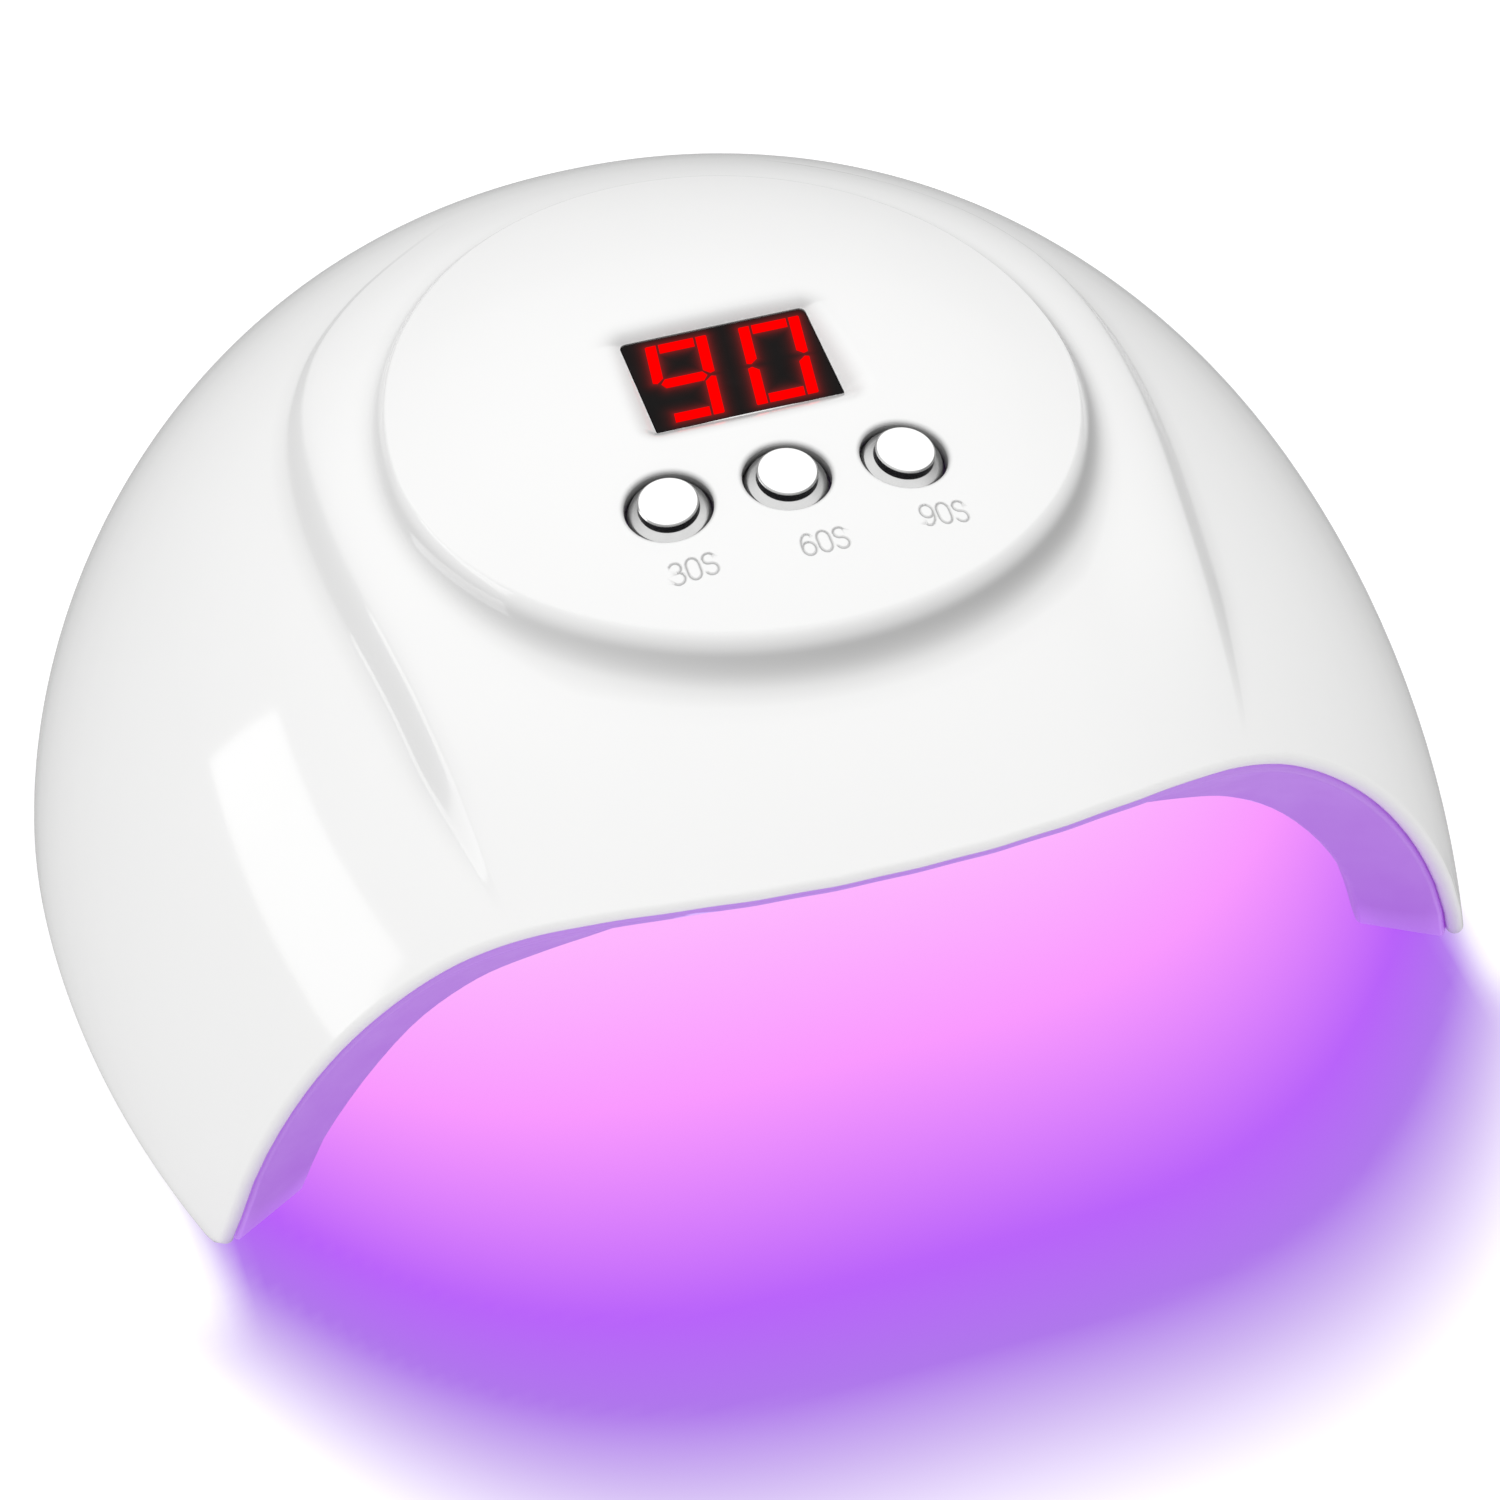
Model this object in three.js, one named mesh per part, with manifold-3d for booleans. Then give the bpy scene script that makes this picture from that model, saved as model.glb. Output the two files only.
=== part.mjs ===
// Arched desktop UV curing lamp: glossy outer shell, inner reflector liner, timer buttons, display and the electronics between them.
// Millimetres, +Z up, the opening faces -Y, the table is z = 0.
import * as THREE from "three";
import { mergeVertices } from "three/addons/utils/BufferGeometryUtils.js";
import Module from "manifold-3d";

const wasm = await Module();
wasm.setup();

// ---------------------------------------------------------------- driving dimensions
const Y_CENTRE = 15.3; // the housing's middle, front to back, in the dome's own frame
const BASE_Z = 0.8; // lower edge of the shell above the table
const WALL = 2.4; // shell wall
const GAP = 0.4; // liner to shell
// outer dome: half width, front and back reach, height, and the exponents of its plan and its profile
const DOME = { A: 96.35, Bf: 129.2, Bb: 105.17, H: 79.87, nf: 2.0, nb: 2.09, m1: 2.546, m2: 1.559, m1f: 2.8, m2f: 1.022, y0: 0 };
// inside of the liner, the hand cavity
const CAVITY = { A: 77.5, Bf: 140.7, Bb: 77, H: 47.5, nf: 2.44, nb: 2.44, m1: 4.13, m2: 1.452, m1f: 4.13, m2f: 1.452, y0: 8 };
const LINER_WALL = 2.0;
const ARCH_Y = -52; // plane of the liner's inner arch
// front edge of the shell in plan, as |x| and y
const LIP = [[0, -74.5], [10, -74.05], [20, -72.5], [30, -69.9], [40, -66.5], [45, -64.6], [50, -62.9], [55, -61.4], [60, -60.3], [65, -59.4], [70, -58.6], [75, -58.05], [80, -57.7], [86, -57.3], [110, -57.3]];
// raised oval
const OVAL = { a: 46.6, bf: 48.4, bb: 52.4, yc: -3.0 };
const ovalRise = (y) => { const t = Math.min(Math.max((y + 10) / 60, 0), 1); return 3.0 - 1.8 * t * t * (3 - 2 * t); };
// display
const DISPLAY = { y: -0.93, z: 80.7, tilt: 3.4, w: 24.7, h: 16.34, body_w: 25.0, body_h: 19.0, depth: 8.0 };
const POCKET_BEVEL = 2.6;
// timer buttons
const BUTTON = { pitch: 15.39, y: -23.48, proud: 0.8, cap_r: 3.8, skirt_r: 5.0, flange_r: 6.2, well_r: 5.55, stem_r: 1.8, stem_l: 6.3, travel: 0.6, fan: 6.3, lean: 8.0 }; // fan and lean: degrees the outer axes spread sideways and all lean to the front
// control board
const BOARD = { x: 62, y0: -31, y1: 16, t: 1.6, post_x: 27, post_y: [-27, 12.5] };
// tact switch
const SWITCH = { s: 6.0, h: 3.5, plunger_r: 1.7, plunger_h: 4.5 };
// lamp beads and their boards
const BEAD = { r: 3.4, base: 1.0, lens_r: 2.75, h: 3.5, hole_r: 3.9 };
const LED_T = 1.2;
const SOCKET = { z: 14, w: 9, h: 10, d: 10, bore_r: 3.3, mouth_y: 97.3, hole_r: 4.3 };
const FEET = [["foot_front_left", -81.9, -42.5], ["foot_front_right", 81.9, -42.5], ["foot_rear_left", -40, 87.2], ["foot_rear_right", 40, 87.2]];
const LINER_SCREWS = [["liner_screw_front_left", -83.6, -22], ["liner_screw_front_right", 83.6, -22], ["liner_screw_rear_left", -57.5, 77.4], ["liner_screw_rear_right", 57.5, 77.4]];
const FLANGE = { z0: 2.6, z1: 4.6 };

// ---------------------------------------------------------------- materials
const mat = (color, roughness, metalness) => new THREE.MeshStandardMaterial({ color, roughness, metalness });
const WHITE_GLOSS = mat(0xf4f4f5, 0.12, 0);
const LINER_WHITE = mat(0xf1eef6, 0.3, 0);
const CHROME = mat(0xd8d8da, 0.08, 1);
const BLACK_FACE = mat(0x141416, 0.25, 0);
const BOARD_GREEN = mat(0x1c5a34, 0.5, 0);
const BOARD_WHITE = mat(0xe9e9e4, 0.5, 0);
const BLACK_PLASTIC = mat(0x1b1b1d, 0.5, 0);
const STEEL = mat(0xb4b4b2, 0.3, 1);
const LENS = mat(0xb070ff, 0.08, 0);
const RUBBER = mat(0xd9d9d6, 0.85, 0);
const LEAD_RED = mat(0xb02020, 0.5, 0);
const ALU_CAN = mat(0x26407a, 0.4, 0.2);

// ---------------------------------------------------------------- solids
function solid(geometry) {
  const g = geometry.clone();
  for (const k of Object.keys(g.attributes)) if (k !== "position") g.deleteAttribute(k);
  const m = mergeVertices(g, 1e-4);
  const tri = new Uint32Array(m.index.array);
  const make = () => new wasm.Manifold(new wasm.Mesh({ numProp: 3, vertProperties: new Float32Array(m.attributes.position.array), triVerts: tri }));
  let s = make();
  if (s.volume() < 0) {
    for (let i = 0; i < tri.length; i += 3) [tri[i + 1], tri[i + 2]] = [tri[i + 2], tri[i + 1]];
    s = make();
  }
  return s;
}
function geometryOf(s) {
  const m = s.getMesh(), v = new Float32Array(m.numVert * 3);
  for (let i = 0; i < m.numVert; i++) v.set(m.vertProperties.subarray(i * m.numProp, i * m.numProp + 3), i * 3);
  const g = new THREE.BufferGeometry();
  g.setAttribute("position", new THREE.BufferAttribute(v, 3));
  g.setIndex(new THREE.BufferAttribute(new Uint32Array(m.triVerts), 1));
  g.computeVertexNormals();
  return g;
}
const lamp = new THREE.Group();
lamp.position.set(0, -Y_CENTRE, 0);
function add(name, s, material) {
  const mesh = new THREE.Mesh(geometryOf(s), material);
  mesh.name = name;
  lamp.add(mesh);
  return mesh;
}
const V = (x, y, z) => new THREE.Vector3(x, y, z);
// a frame whose +Z is the given direction and whose +X stays as near to the given side as it can
function frameAt(pos, zDir, side = V(1, 0, 0)) {
  const z = zDir.clone().normalize();
  const x = side.clone().addScaledVector(z, -side.dot(z)).normalize();
  const y = new THREE.Vector3().crossVectors(z, x);
  return new THREE.Matrix4().makeBasis(x, y, z).setPosition(pos);
}
const box = (x0, x1, y0, y1, z0, z1) => new THREE.BoxGeometry(x1 - x0, y1 - y0, z1 - z0).translate((x0 + x1) / 2, (y0 + y1) / 2, (z0 + z1) / 2);
const boxS = (...a) => solid(box(...a));
// an upright cylinder between two heights
const cylG = (r, z0, z1, n = 24, r2 = r) => new THREE.CylinderGeometry(r2, r, z1 - z0, n).rotateX(Math.PI / 2).translate(0, 0, (z0 + z1) / 2);
const cylAt = (x, y, r, z0, z1, n = 24) => solid(cylG(r, z0, z1, n).translate(x, y, 0));
const lathe = (pts, n) => new THREE.LatheGeometry(pts.map(([r, z]) => new THREE.Vector2(r, z)), n).rotateX(Math.PI / 2);

// ---------------------------------------------------------------- dome surface
const shrink = (P, t) => ({ ...P, A: P.A - t, Bf: P.Bf - t, Bb: P.Bb - t, H: P.H - t });
function domeAt(P, x, y) {
  const dy = y - P.y0, front = dy < 0;
  const ax = Math.abs(x) / P.A, ay = Math.abs(dy) / (front ? P.Bf : P.Bb), n = front ? P.nf : P.nb;
  const rho = Math.pow(Math.pow(ax, n) + Math.pow(ay, n) + 1e-12, 1 / n);
  const s = front ? Math.sin(Math.atan2(ay, ax)) ** 2 : 0;
  return { rho, m1: P.m1 + (P.m1f - P.m1) * s, m2: P.m2 + (P.m2f - P.m2) * s };
}
function domeZ(P, x, y) {
  const { rho, m1, m2 } = domeAt(P, x, y);
  return P.H * Math.pow(Math.max(1 - Math.pow(rho, m1), 1e-9), 1 / m2);
}
function domeNormal(P, x, y, rise = () => 0) {
  const e = 0.3, f = (u, v) => domeZ(P, u, v) + rise(v);
  return V(-(f(x + e, y) - f(x - e, y)) / (2 * e), -(f(x, y + e) - f(x, y - e)) / (2 * e), 1).normalize();
}
function closed(rings, top, bottom) {
  const n = rings[0].length, pos = [], idx = [];
  rings.forEach((r) => r.forEach((p) => pos.push(p[0], p[1], p[2])));
  const T = pos.length / 3; pos.push(...top);
  const B = T + 1; pos.push(...bottom);
  for (let j = 0; j + 1 < rings.length; j++) for (let i = 0; i < n; i++) {
    const k = (i + 1) % n, a = j * n + i, b = j * n + k, c = (j + 1) * n + k, d = (j + 1) * n + i;
    idx.push(a, b, c, a, c, d);
  }
  const l = (rings.length - 1) * n;
  for (let i = 0; i < n; i++) { const k = (i + 1) % n; idx.push(l + i, l + k, T, B, k, i); }
  const g = new THREE.BufferGeometry();
  g.setAttribute("position", new THREE.Float32BufferAttribute(pos, 3));
  g.setIndex(idx);
  return g;
}
// the closed solid under a dome surface, from zBottom up
function domeSolid(P, zBottom, nTheta, nPhi) {
  const rings = [];
  const ring = (fn) => Array.from({ length: nTheta }, (_, i) => {
    const t = (2 * Math.PI * i) / nTheta, c = Math.cos(t), s = Math.sin(t), front = s < -1e-9;
    const B = front ? P.Bf : P.Bb, n = front ? P.nf : P.nb;
    const k = Math.pow(Math.pow(Math.abs(c) / P.A, n) + Math.pow(Math.abs(s) / B, n), -1 / n);
    const q = domeAt(P, k * c, P.y0 + k * s);
    return fn(k * c, k * s, q.m1, q.m2);
  });
  if (zBottom < 0) rings.push(ring((x, y) => [x, P.y0 + y, zBottom]));
  const z0 = Math.max(zBottom, 0);
  for (let j = 0; j < nPhi; j++) rings.push(ring((x, y, m1, m2) => {
    const f0 = Math.asin(Math.pow(z0 / P.H, m2 / 2)), f = f0 + ((Math.PI / 2 - f0) * j) / nPhi;
    const rho = Math.pow(Math.cos(f), 2 / m1);
    return [x * rho, P.y0 + y * rho, P.H * Math.pow(Math.sin(f), 2 / m2)];
  }));
  return solid(closed(rings, [0, P.y0, P.H], [0, P.y0, zBottom]));
}
function lipY(x) {
  const a = Math.abs(x);
  for (let i = 0; i + 1 < LIP.length; i++) if (a <= LIP[i + 1][0]) {
    const f = (a - LIP[i][0]) / (LIP[i + 1][0] - LIP[i][0]);
    return LIP[i][1] + f * (LIP[i + 1][1] - LIP[i][1]);
  }
  return LIP.at(-1)[1];
}
// everything in front of the lip line
const lipCutter = (() => {
  const xs = [];
  for (let x = -110; x <= 110; x += 5) xs.push(x);
  const s = new THREE.Shape();
  s.moveTo(-110, -200);
  s.lineTo(110, -200);
  for (const x of xs.slice().reverse()) s.lineTo(x, lipY(x));
  return solid(new THREE.ExtrudeGeometry(s, { depth: 130, bevelEnabled: false }).translate(0, 0, -15));
})();
// oval plug between two height functions
function ovalSolid(inset, topFn, bottomFn, seg, radii) {
  const pt = (t, r) => {
    const c = Math.cos(t), s = Math.sin(t);
    return [(OVAL.a - inset) * r * c, OVAL.yc + ((s < 0 ? OVAL.bf : OVAL.bb) - inset) * r * s];
  };
  const ring = (r, fn) => Array.from({ length: seg }, (_, i) => { const p = pt((2 * Math.PI * i) / seg, r); return [p[0], p[1], fn(p[0], p[1], r)]; });
  const rings = [...radii.slice().reverse().map((r) => ring(r, bottomFn)), ...radii.map((r) => ring(r, topFn))];
  return solid(closed(rings, [0, OVAL.yc, topFn(0, OVAL.yc, 0)], [0, OVAL.yc, bottomFn(0, OVAL.yc, 0)]));
}
const surfaceZ = (x, y) => domeZ(DOME, x, y) + ovalRise(y); // top of the raised oval

// ---------------------------------------------------------------- frames of the display and the buttons
const tilt = (DISPLAY.tilt * Math.PI) / 180;
const deck = frameAt(V(0, DISPLAY.y, DISPLAY.z), V(0, -Math.sin(tilt), Math.cos(tilt))); // +Z out of the display, origin on its face
const onDeck = (g) => g.applyMatrix4(deck);
const BOARD_TOP = -DISPLAY.depth - 0.3; // in the deck frame
const BUTTONS = [["30s", -1], ["60s", 0], ["90s", 1]].map(([id, k]) => {
  const d = Math.PI / 180, nx = k * Math.sin(BUTTON.fan * d), ny = -Math.sin(BUTTON.lean * d);
  const x = k * BUTTON.pitch, n = V(nx, ny, Math.sqrt(1 - nx * nx - ny * ny));
  const top = V(x, BUTTON.y, surfaceZ(x, BUTTON.y)).addScaledVector(n, BUTTON.proud);
  return { id, n, top, m: frameAt(top, n), stem: BUTTON.stem_l + (k ? 0 : 0.7) }; // the middle cap sits higher on the dome
});

// ---------------------------------------------------------------- outer shell
const outer = domeSolid(DOME, BASE_Z, 80, 12);
const inner = domeSolid(shrink(DOME, WALL), -5, 56, 9);
let shell = outer.add(ovalSolid(0, (x, y, r) => surfaceZ(x, y) - (r > 0.99 ? 1.3 : 0), (x, y) => domeZ(DOME, x, y) - 1.2, 64, [1, 0.972, 0.75, 0.4]));
const envelope = shell;
// hollow, with screw bosses, board posts and ribs
let pegs = null;
const join = (s) => { pegs = pegs ? pegs.add(s) : s; };
LINER_SCREWS.forEach(([, x, y]) => {
  join(cylAt(x, y, 3.2, 5.0, 24, 16));
  const d = V(x, y * 1.0, 0).normalize(), g = box(0, 14, -0.9, 0.9, 5.0, 26);
  g.applyMatrix4(new THREE.Matrix4().makeRotationZ(Math.atan2(d.y, d.x))).translate(x, y, 0);
  join(solid(g));
});
let hollow = inner.add(ovalSolid(2.6, (x, y) => surfaceZ(x, y) - WALL, (x, y) => domeZ(DOME, x, y) - 8, 48, [1, 0.7, 0.35]));
BOARD.post_y.forEach((y) => [-1, 1].forEach((k) => join(solid(onDeck(cylG(2.7, BOARD_TOP + 0.3, 12, 14).translate(k * BOARD.post_x, y - DISPLAY.y, 0))))));
const fit = pegs.intersect(envelope);
shell = shell.subtract(hollow).add(fit);
shell = shell.subtract(lipCutter);
// display pocket: bevelled frame above a straight window
const frustum = (() => {
  const w = DISPLAY.w / 2 + 0.3, h = DISPLAY.h / 2 + 0.3, b = POCKET_BEVEL * 2;
  const P = [[w, h, -0.25], [w + b, h + b, 4.2]], rings = P.map(([a, c, z]) => [[a, c, z], [-a, c, z], [-a, -c, z], [a, -c, z]]);
  return solid(onDeck(closed(rings, [0, 0, 4.2], [0, 0, -0.25])));
})();
shell = shell.subtract(frustum);
shell = shell.subtract(solid(onDeck(box(-DISPLAY.w / 2 - 0.3, DISPLAY.w / 2 + 0.3, -DISPLAY.h / 2 - 0.3, DISPLAY.h / 2 + 0.3, -7, 0))));
// button wells
BUTTONS.forEach(({ m }) => {
  shell = shell.subtract(solid(cylG(BUTTON.well_r, -12, 4, 28).applyMatrix4(m)));
  shell = shell.subtract(solid(cylG(BUTTON.well_r - 0.35, -1.7, 3.1, 28, BUTTON.well_r + 2.6).applyMatrix4(m)));
});
// pilot holes in the bosses and posts
LINER_SCREWS.forEach(([, x, y]) => { shell = shell.subtract(cylAt(x, y, 1.65, 3, 18, 12)); });
BOARD.post_y.forEach((y) => [-1, 1].forEach((k) => { shell = shell.subtract(solid(onDeck(cylG(1.5, BOARD_TOP - 1, BOARD_TOP + 5.2, 10).translate(k * BOARD.post_x, y - DISPLAY.y, 0)))); }));
// inlet hole and cooling slots in the rear wall
shell = shell.subtract(solid(new THREE.CylinderGeometry(SOCKET.hole_r, SOCKET.hole_r, 14, 24).translate(0, 103, SOCKET.z)));
for (let k = -3; k <= 3; k++) shell = shell.subtract(boxS(k * 6 - 1.1, k * 6 + 1.1, 80, 115, 27, 40));
add("top_shell", shell, WHITE_GLOSS);

// ---------------------------------------------------------------- inner liner
// point on a dome surface in the plane y = yFn(x), seen from the table's centre at an angle
function archPoint(P, yFn, psi) {
  let lo = 10, hi = 140;
  for (let i = 0; i < 50; i++) {
    const r = (lo + hi) / 2, x = r * Math.cos(psi), z = r * Math.sin(psi), q = domeAt(P, x, yFn(x));
    if (Math.pow(q.rho, q.m1) + Math.pow(z / P.H, q.m2) < 1) lo = r; else hi = r;
  }
  return V(lo * Math.cos(psi), yFn(lo * Math.cos(psi)), lo * Math.sin(psi));
}
const LINER_LIMIT = shrink(DOME, WALL + GAP);
const cavity = domeSolid(CAVITY, -5, 56, 9);
const cavityWall = domeSolid(shrink(CAVITY, -LINER_WALL), BASE_Z, 52, 8).intersect(boxS(-120, 120, ARCH_Y, 120, -5, 80));
const frontFlange = (() => {
  const N = 44, psi0 = 0.0096, pts = [];
  for (let i = 0; i <= N; i++) {
    const psi = psi0 + ((Math.PI - 2 * psi0) * i) / N;
    const o = archPoint(LINER_LIMIT, (x) => lipY(x) + 1.0, psi);
    const a = archPoint(shrink(CAVITY, 1.2), () => ARCH_Y, psi);
    o.z = Math.max(o.z, BASE_Z); a.z = Math.max(a.z, BASE_Z);
    pts.push([o, a]);
  }
  const pos = [], idx = [];
  pts.forEach(([o, a], i) => {
    const t = pts[Math.min(i + 1, N)][0].clone().sub(pts[Math.max(i - 1, 0)][0]);
    const n = new THREE.Vector3().crossVectors(t, a.clone().sub(o)).normalize();
    if (n.y < 0) n.negate();
    if (i === 0 || i === N) { n.z = 0; n.normalize(); }
    for (const p of [o, a, a.clone().addScaledVector(n, 2), o.clone().addScaledVector(n, 2)]) pos.push(p.x, p.y, Math.max(p.z, BASE_Z));
  });
  for (let i = 0; i < N; i++) for (let k = 0; k < 4; k++) {
    const a = i * 4 + k, b = i * 4 + ((k + 1) % 4), c = (i + 1) * 4 + ((k + 1) % 4), d = (i + 1) * 4 + k;
    idx.push(a, b, c, a, c, d);
  }
  idx.push(0, 2, 1, 0, 3, 2);
  const e = N * 4;
  idx.push(e, e + 1, e + 2, e, e + 2, e + 3);
  const g = new THREE.BufferGeometry();
  g.setAttribute("position", new THREE.Float32BufferAttribute(pos, 3));
  g.setIndex(idx);
  return solid(g).intersect(domeSolid(LINER_LIMIT, 0.5, 56, 9));
})();
const bottomFlange = (() => {
  const seg = 80, s = new THREE.Shape();
  for (let i = 0; i < seg; i++) {
    const t = (2 * Math.PI * i) / seg, c = Math.cos(t), sn = Math.sin(t), front = sn < 0;
    const P = LINER_LIMIT, B = front ? P.Bf : P.Bb, n = front ? P.nf : P.nb;
    const k = Math.pow(Math.pow(Math.abs(c) / P.A, n) + Math.pow(Math.abs(sn) / B, n), -1 / n);
    const q = domeAt(P, k * c, k * sn), rho = Math.pow(1 - Math.pow(FLANGE.z1 / P.H, q.m2), 1 / q.m1) - 0.001;
    s[i ? "lineTo" : "moveTo"](k * c * rho, k * sn * rho);
  }
  const g = new THREE.ExtrudeGeometry(s, { depth: FLANGE.z1 - FLANGE.z0, bevelEnabled: false }).translate(0, 0, FLANGE.z0);
  return solid(g).intersect(boxS(-120, 120, ARCH_Y + 1.5, 120, -5, 80));
})();
let liner = cavityWall.add(frontFlange).add(bottomFlange).subtract(cavity);
// where the lamp beads look through
const CAVITY_OUT = shrink(CAVITY, -LINER_WALL);
const bead = (x, y, board) => ({ x, y, board });
const domePoint = (P, x, y) => V(x, y, domeZ(P, x, y));
const LEDS = [];
const topZ = CAVITY_OUT.H + 1.1; // underside of the top lamp board
for (const [x, y] of [[-34, -22], [-12, -26], [12, -26], [34, -22], [-34, 24], [-12, 28], [12, 28], [34, 24]]) LEDS.push({ board: "top", m: frameAt(V(x, y, topZ), V(0, 0, -1)) });
// a side or rear board lies against the liner at one point and carries its beads in a row
function tangentBoard(point, normal, row) {
  const m = frameAt(point.clone().addScaledVector(normal, 1.3), normal.clone().negate(), row);
  return m;
}
const sidePoint = (k) => { const x = k * 73.2, y = 4; return { p: domePoint(CAVITY_OUT, x, y), n: domeNormal(CAVITY_OUT, x, y) }; };
const sideBoards = [["left", -1], ["right", 1]].map(([id, k]) => { const q = sidePoint(k); return { id, m: tangentBoard(q.p, q.n, V(0, 1, 0)), row: [-27, -9, 9, 27] }; });
const rearQ = (() => { const x = 0, y = 78; return { p: domePoint(CAVITY_OUT, x, y), n: domeNormal(CAVITY_OUT, x, y) }; })();
const rearBoard = { id: "rear", m: tangentBoard(rearQ.p, rearQ.n, V(1, 0, 0)), row: [-8, 8] };
for (const b of [...sideBoards, rearBoard]) for (const u of b.row) LEDS.push({ board: b.id, m: b.m.clone().multiply(new THREE.Matrix4().makeTranslation(u, 0, 0)) });
LEDS.forEach(({ m }) => { liner = liner.subtract(solid(cylG(BEAD.hole_r, -2, 12, 12).applyMatrix4(m))); });
LINER_SCREWS.forEach(([, x, y]) => { liner = liner.subtract(cylAt(x, y, 1.75, 0, 7, 12)); });
add("inner_liner", liner, LINER_WHITE);

// ---------------------------------------------------------------- lamp beads and boards
LEDS.forEach(({ m }, i) => {
  const g = lathe([[0, 0.3], [BEAD.r, 0.3], [BEAD.r, BEAD.base + 0.3], [BEAD.lens_r, BEAD.base + 0.3], [BEAD.lens_r - 0.35, 2.6], [0, BEAD.h + 0.3]], 10).applyMatrix4(m);
  add("led_" + String(i + 1).padStart(2, "0"), solid(g), LENS);
});
add("led_board_top", boxS(-43, 43, -34, 36, topZ, topZ + LED_T), BOARD_WHITE);
for (const b of sideBoards) add("led_board_" + b.id, solid(box(-35, 35, -8, 8, -LED_T, 0).applyMatrix4(b.m)), BOARD_WHITE);
add("led_board_rear", solid(box(-18, 18, -7, 7, -LED_T, 0).applyMatrix4(rearBoard.m)), BOARD_WHITE);

// ---------------------------------------------------------------- display
{
  const w = DISPLAY.w / 2, h = DISPLAY.h / 2;
  let s = solid(box(-w, w, -h, h, -4, 0)).add(solid(box(-DISPLAY.body_w / 2, DISPLAY.body_w / 2, -DISPLAY.body_h / 2, DISPLAY.body_h / 2, -DISPLAY.depth, -3.2)));
  const g = geometryOf(s);
  add("display_module", solid(onDeck(g)), BLACK_FACE);
}

// ---------------------------------------------------------------- control board
const boardY = (y) => y - DISPLAY.y;
{
  let b = solid(box(-BOARD.x / 2, BOARD.x / 2, boardY(BOARD.y0), boardY(BOARD.y1), BOARD_TOP - BOARD.t, BOARD_TOP));
  BOARD.post_y.forEach((y) => [-1, 1].forEach((k) => { b = b.subtract(solid(cylG(1.6, BOARD_TOP - 3, BOARD_TOP + 1, 12).translate(k * BOARD.post_x, boardY(y), 0))); }));
  add("control_board", solid(onDeck(geometryOf(b))), BOARD_GREEN);
  const under = BOARD_TOP - BOARD.t - 0.3;
  add("microcontroller", solid(onDeck(box(-5, 5, -9, -3, under - 1.6, under))), BLACK_PLASTIC);
  add("power_transistor", solid(onDeck(box(12, 18.5, 1, 7, under - 2.3, under))), BLACK_PLASTIC);
  add("filter_capacitor", solid(onDeck(cylG(4, under - 11, under, 20).translate(-18, 4, 0))), ALU_CAN);
}
// screws: pan head with a cross recess, plain shank with a point
function screw(headR, headH, shankR, length, n = 12) {
  let s = solid(lathe([[0, 0], [headR * 0.82, 0], [headR, headH * 0.45], [headR, headH], [shankR, headH], [shankR, headH + length - shankR], [0, headH + length]], n));
  const w = headR * 0.16, l = headR * 0.55;
  s = s.subtract(boxS(-w, w, -l, l, -1, headH * 0.55)).subtract(boxS(-l, l, -w, w, -1, headH * 0.55));
  return s;
}
LINER_SCREWS.forEach(([name, x, y]) => add(name, solid(geometryOf(screw(2.8, 1.8, 1.3, 11.5)).translate(x, y, 0.5)), STEEL));
BOARD.post_y.forEach((y, j) => [-1, 1].forEach((k) => add("board_screw_" + (j ? "rear" : "front") + (k < 0 ? "_left" : "_right"),
  solid(geometryOf(screw(2.4, 1.5, 1.15, 6)).translate(k * BOARD.post_x, boardY(y), BOARD_TOP - BOARD.t - 0.3 - 1.5).applyMatrix4(deck)), STEEL)));

// ---------------------------------------------------------------- buttons and switches
const onBoardPoint = (b) => { // where a button's axis meets the board's top, in the deck frame
  const inv = deck.clone().invert(), o = b.top.clone().applyMatrix4(inv), d = b.n.clone().transformDirection(inv);
  const t = (BOARD_TOP - o.z) / d.z;
  return o.addScaledVector(d, t);
};
BUTTONS.forEach((b) => {
  const B = BUTTON;
  const profile = [[0, -b.stem], [B.stem_r, -b.stem], [B.stem_r, -5.0], [B.flange_r, -5.0], [B.flange_r, -4.15], [B.skirt_r, -4.15], [B.skirt_r, -2.5], [B.skirt_r - 0.25, -2.0], [B.cap_r + 0.05, -1.35], [B.cap_r, -0.4], [B.cap_r - 0.45, 0], [0, 0]];
  add("button_cap_" + b.id, solid(lathe(profile, 20).applyMatrix4(b.m)), CHROME);
  const p = onBoardPoint(b), S = SWITCH;
  let body = solid(box(-S.s / 2, S.s / 2, -S.s / 2, S.s / 2, 0.3, S.h).translate(p.x, p.y, BOARD_TOP)).subtract(solid(cylG(S.plunger_r + 0.4, 1.2, 6, 16).translate(p.x, p.y, BOARD_TOP)));
  add("switch_body_" + b.id, solid(onDeck(geometryOf(body))), BLACK_PLASTIC);
  add("switch_plunger_" + b.id, solid(onDeck(cylG(S.plunger_r, 2.3, S.plunger_h, 16).translate(p.x, p.y, BOARD_TOP))), BLACK_PLASTIC);
});

// ---------------------------------------------------------------- power inlet
{
  const S = SOCKET, y1 = S.mouth_y, y0 = y1 - S.d;
  const along = (r, a, b, n) => new THREE.CylinderGeometry(r, r, b - a, n).translate(0, (a + b) / 2, S.z);
  let s = boxS(-S.w / 2, S.w / 2, y0, y1, S.z - S.h / 2, S.z + S.h / 2);
  s = s.subtract(solid(along(S.bore_r, y1 - 8.2, y1 + 2, 20))).subtract(solid(along(1.35, y0 - 1, y1 - 5, 12)));
  add("power_socket", s, BLACK_PLASTIC);
  add("socket_pin", solid(along(1.0, y0 + 0.4, y1 - 2.0, 12)), STEEL);
}

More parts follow.
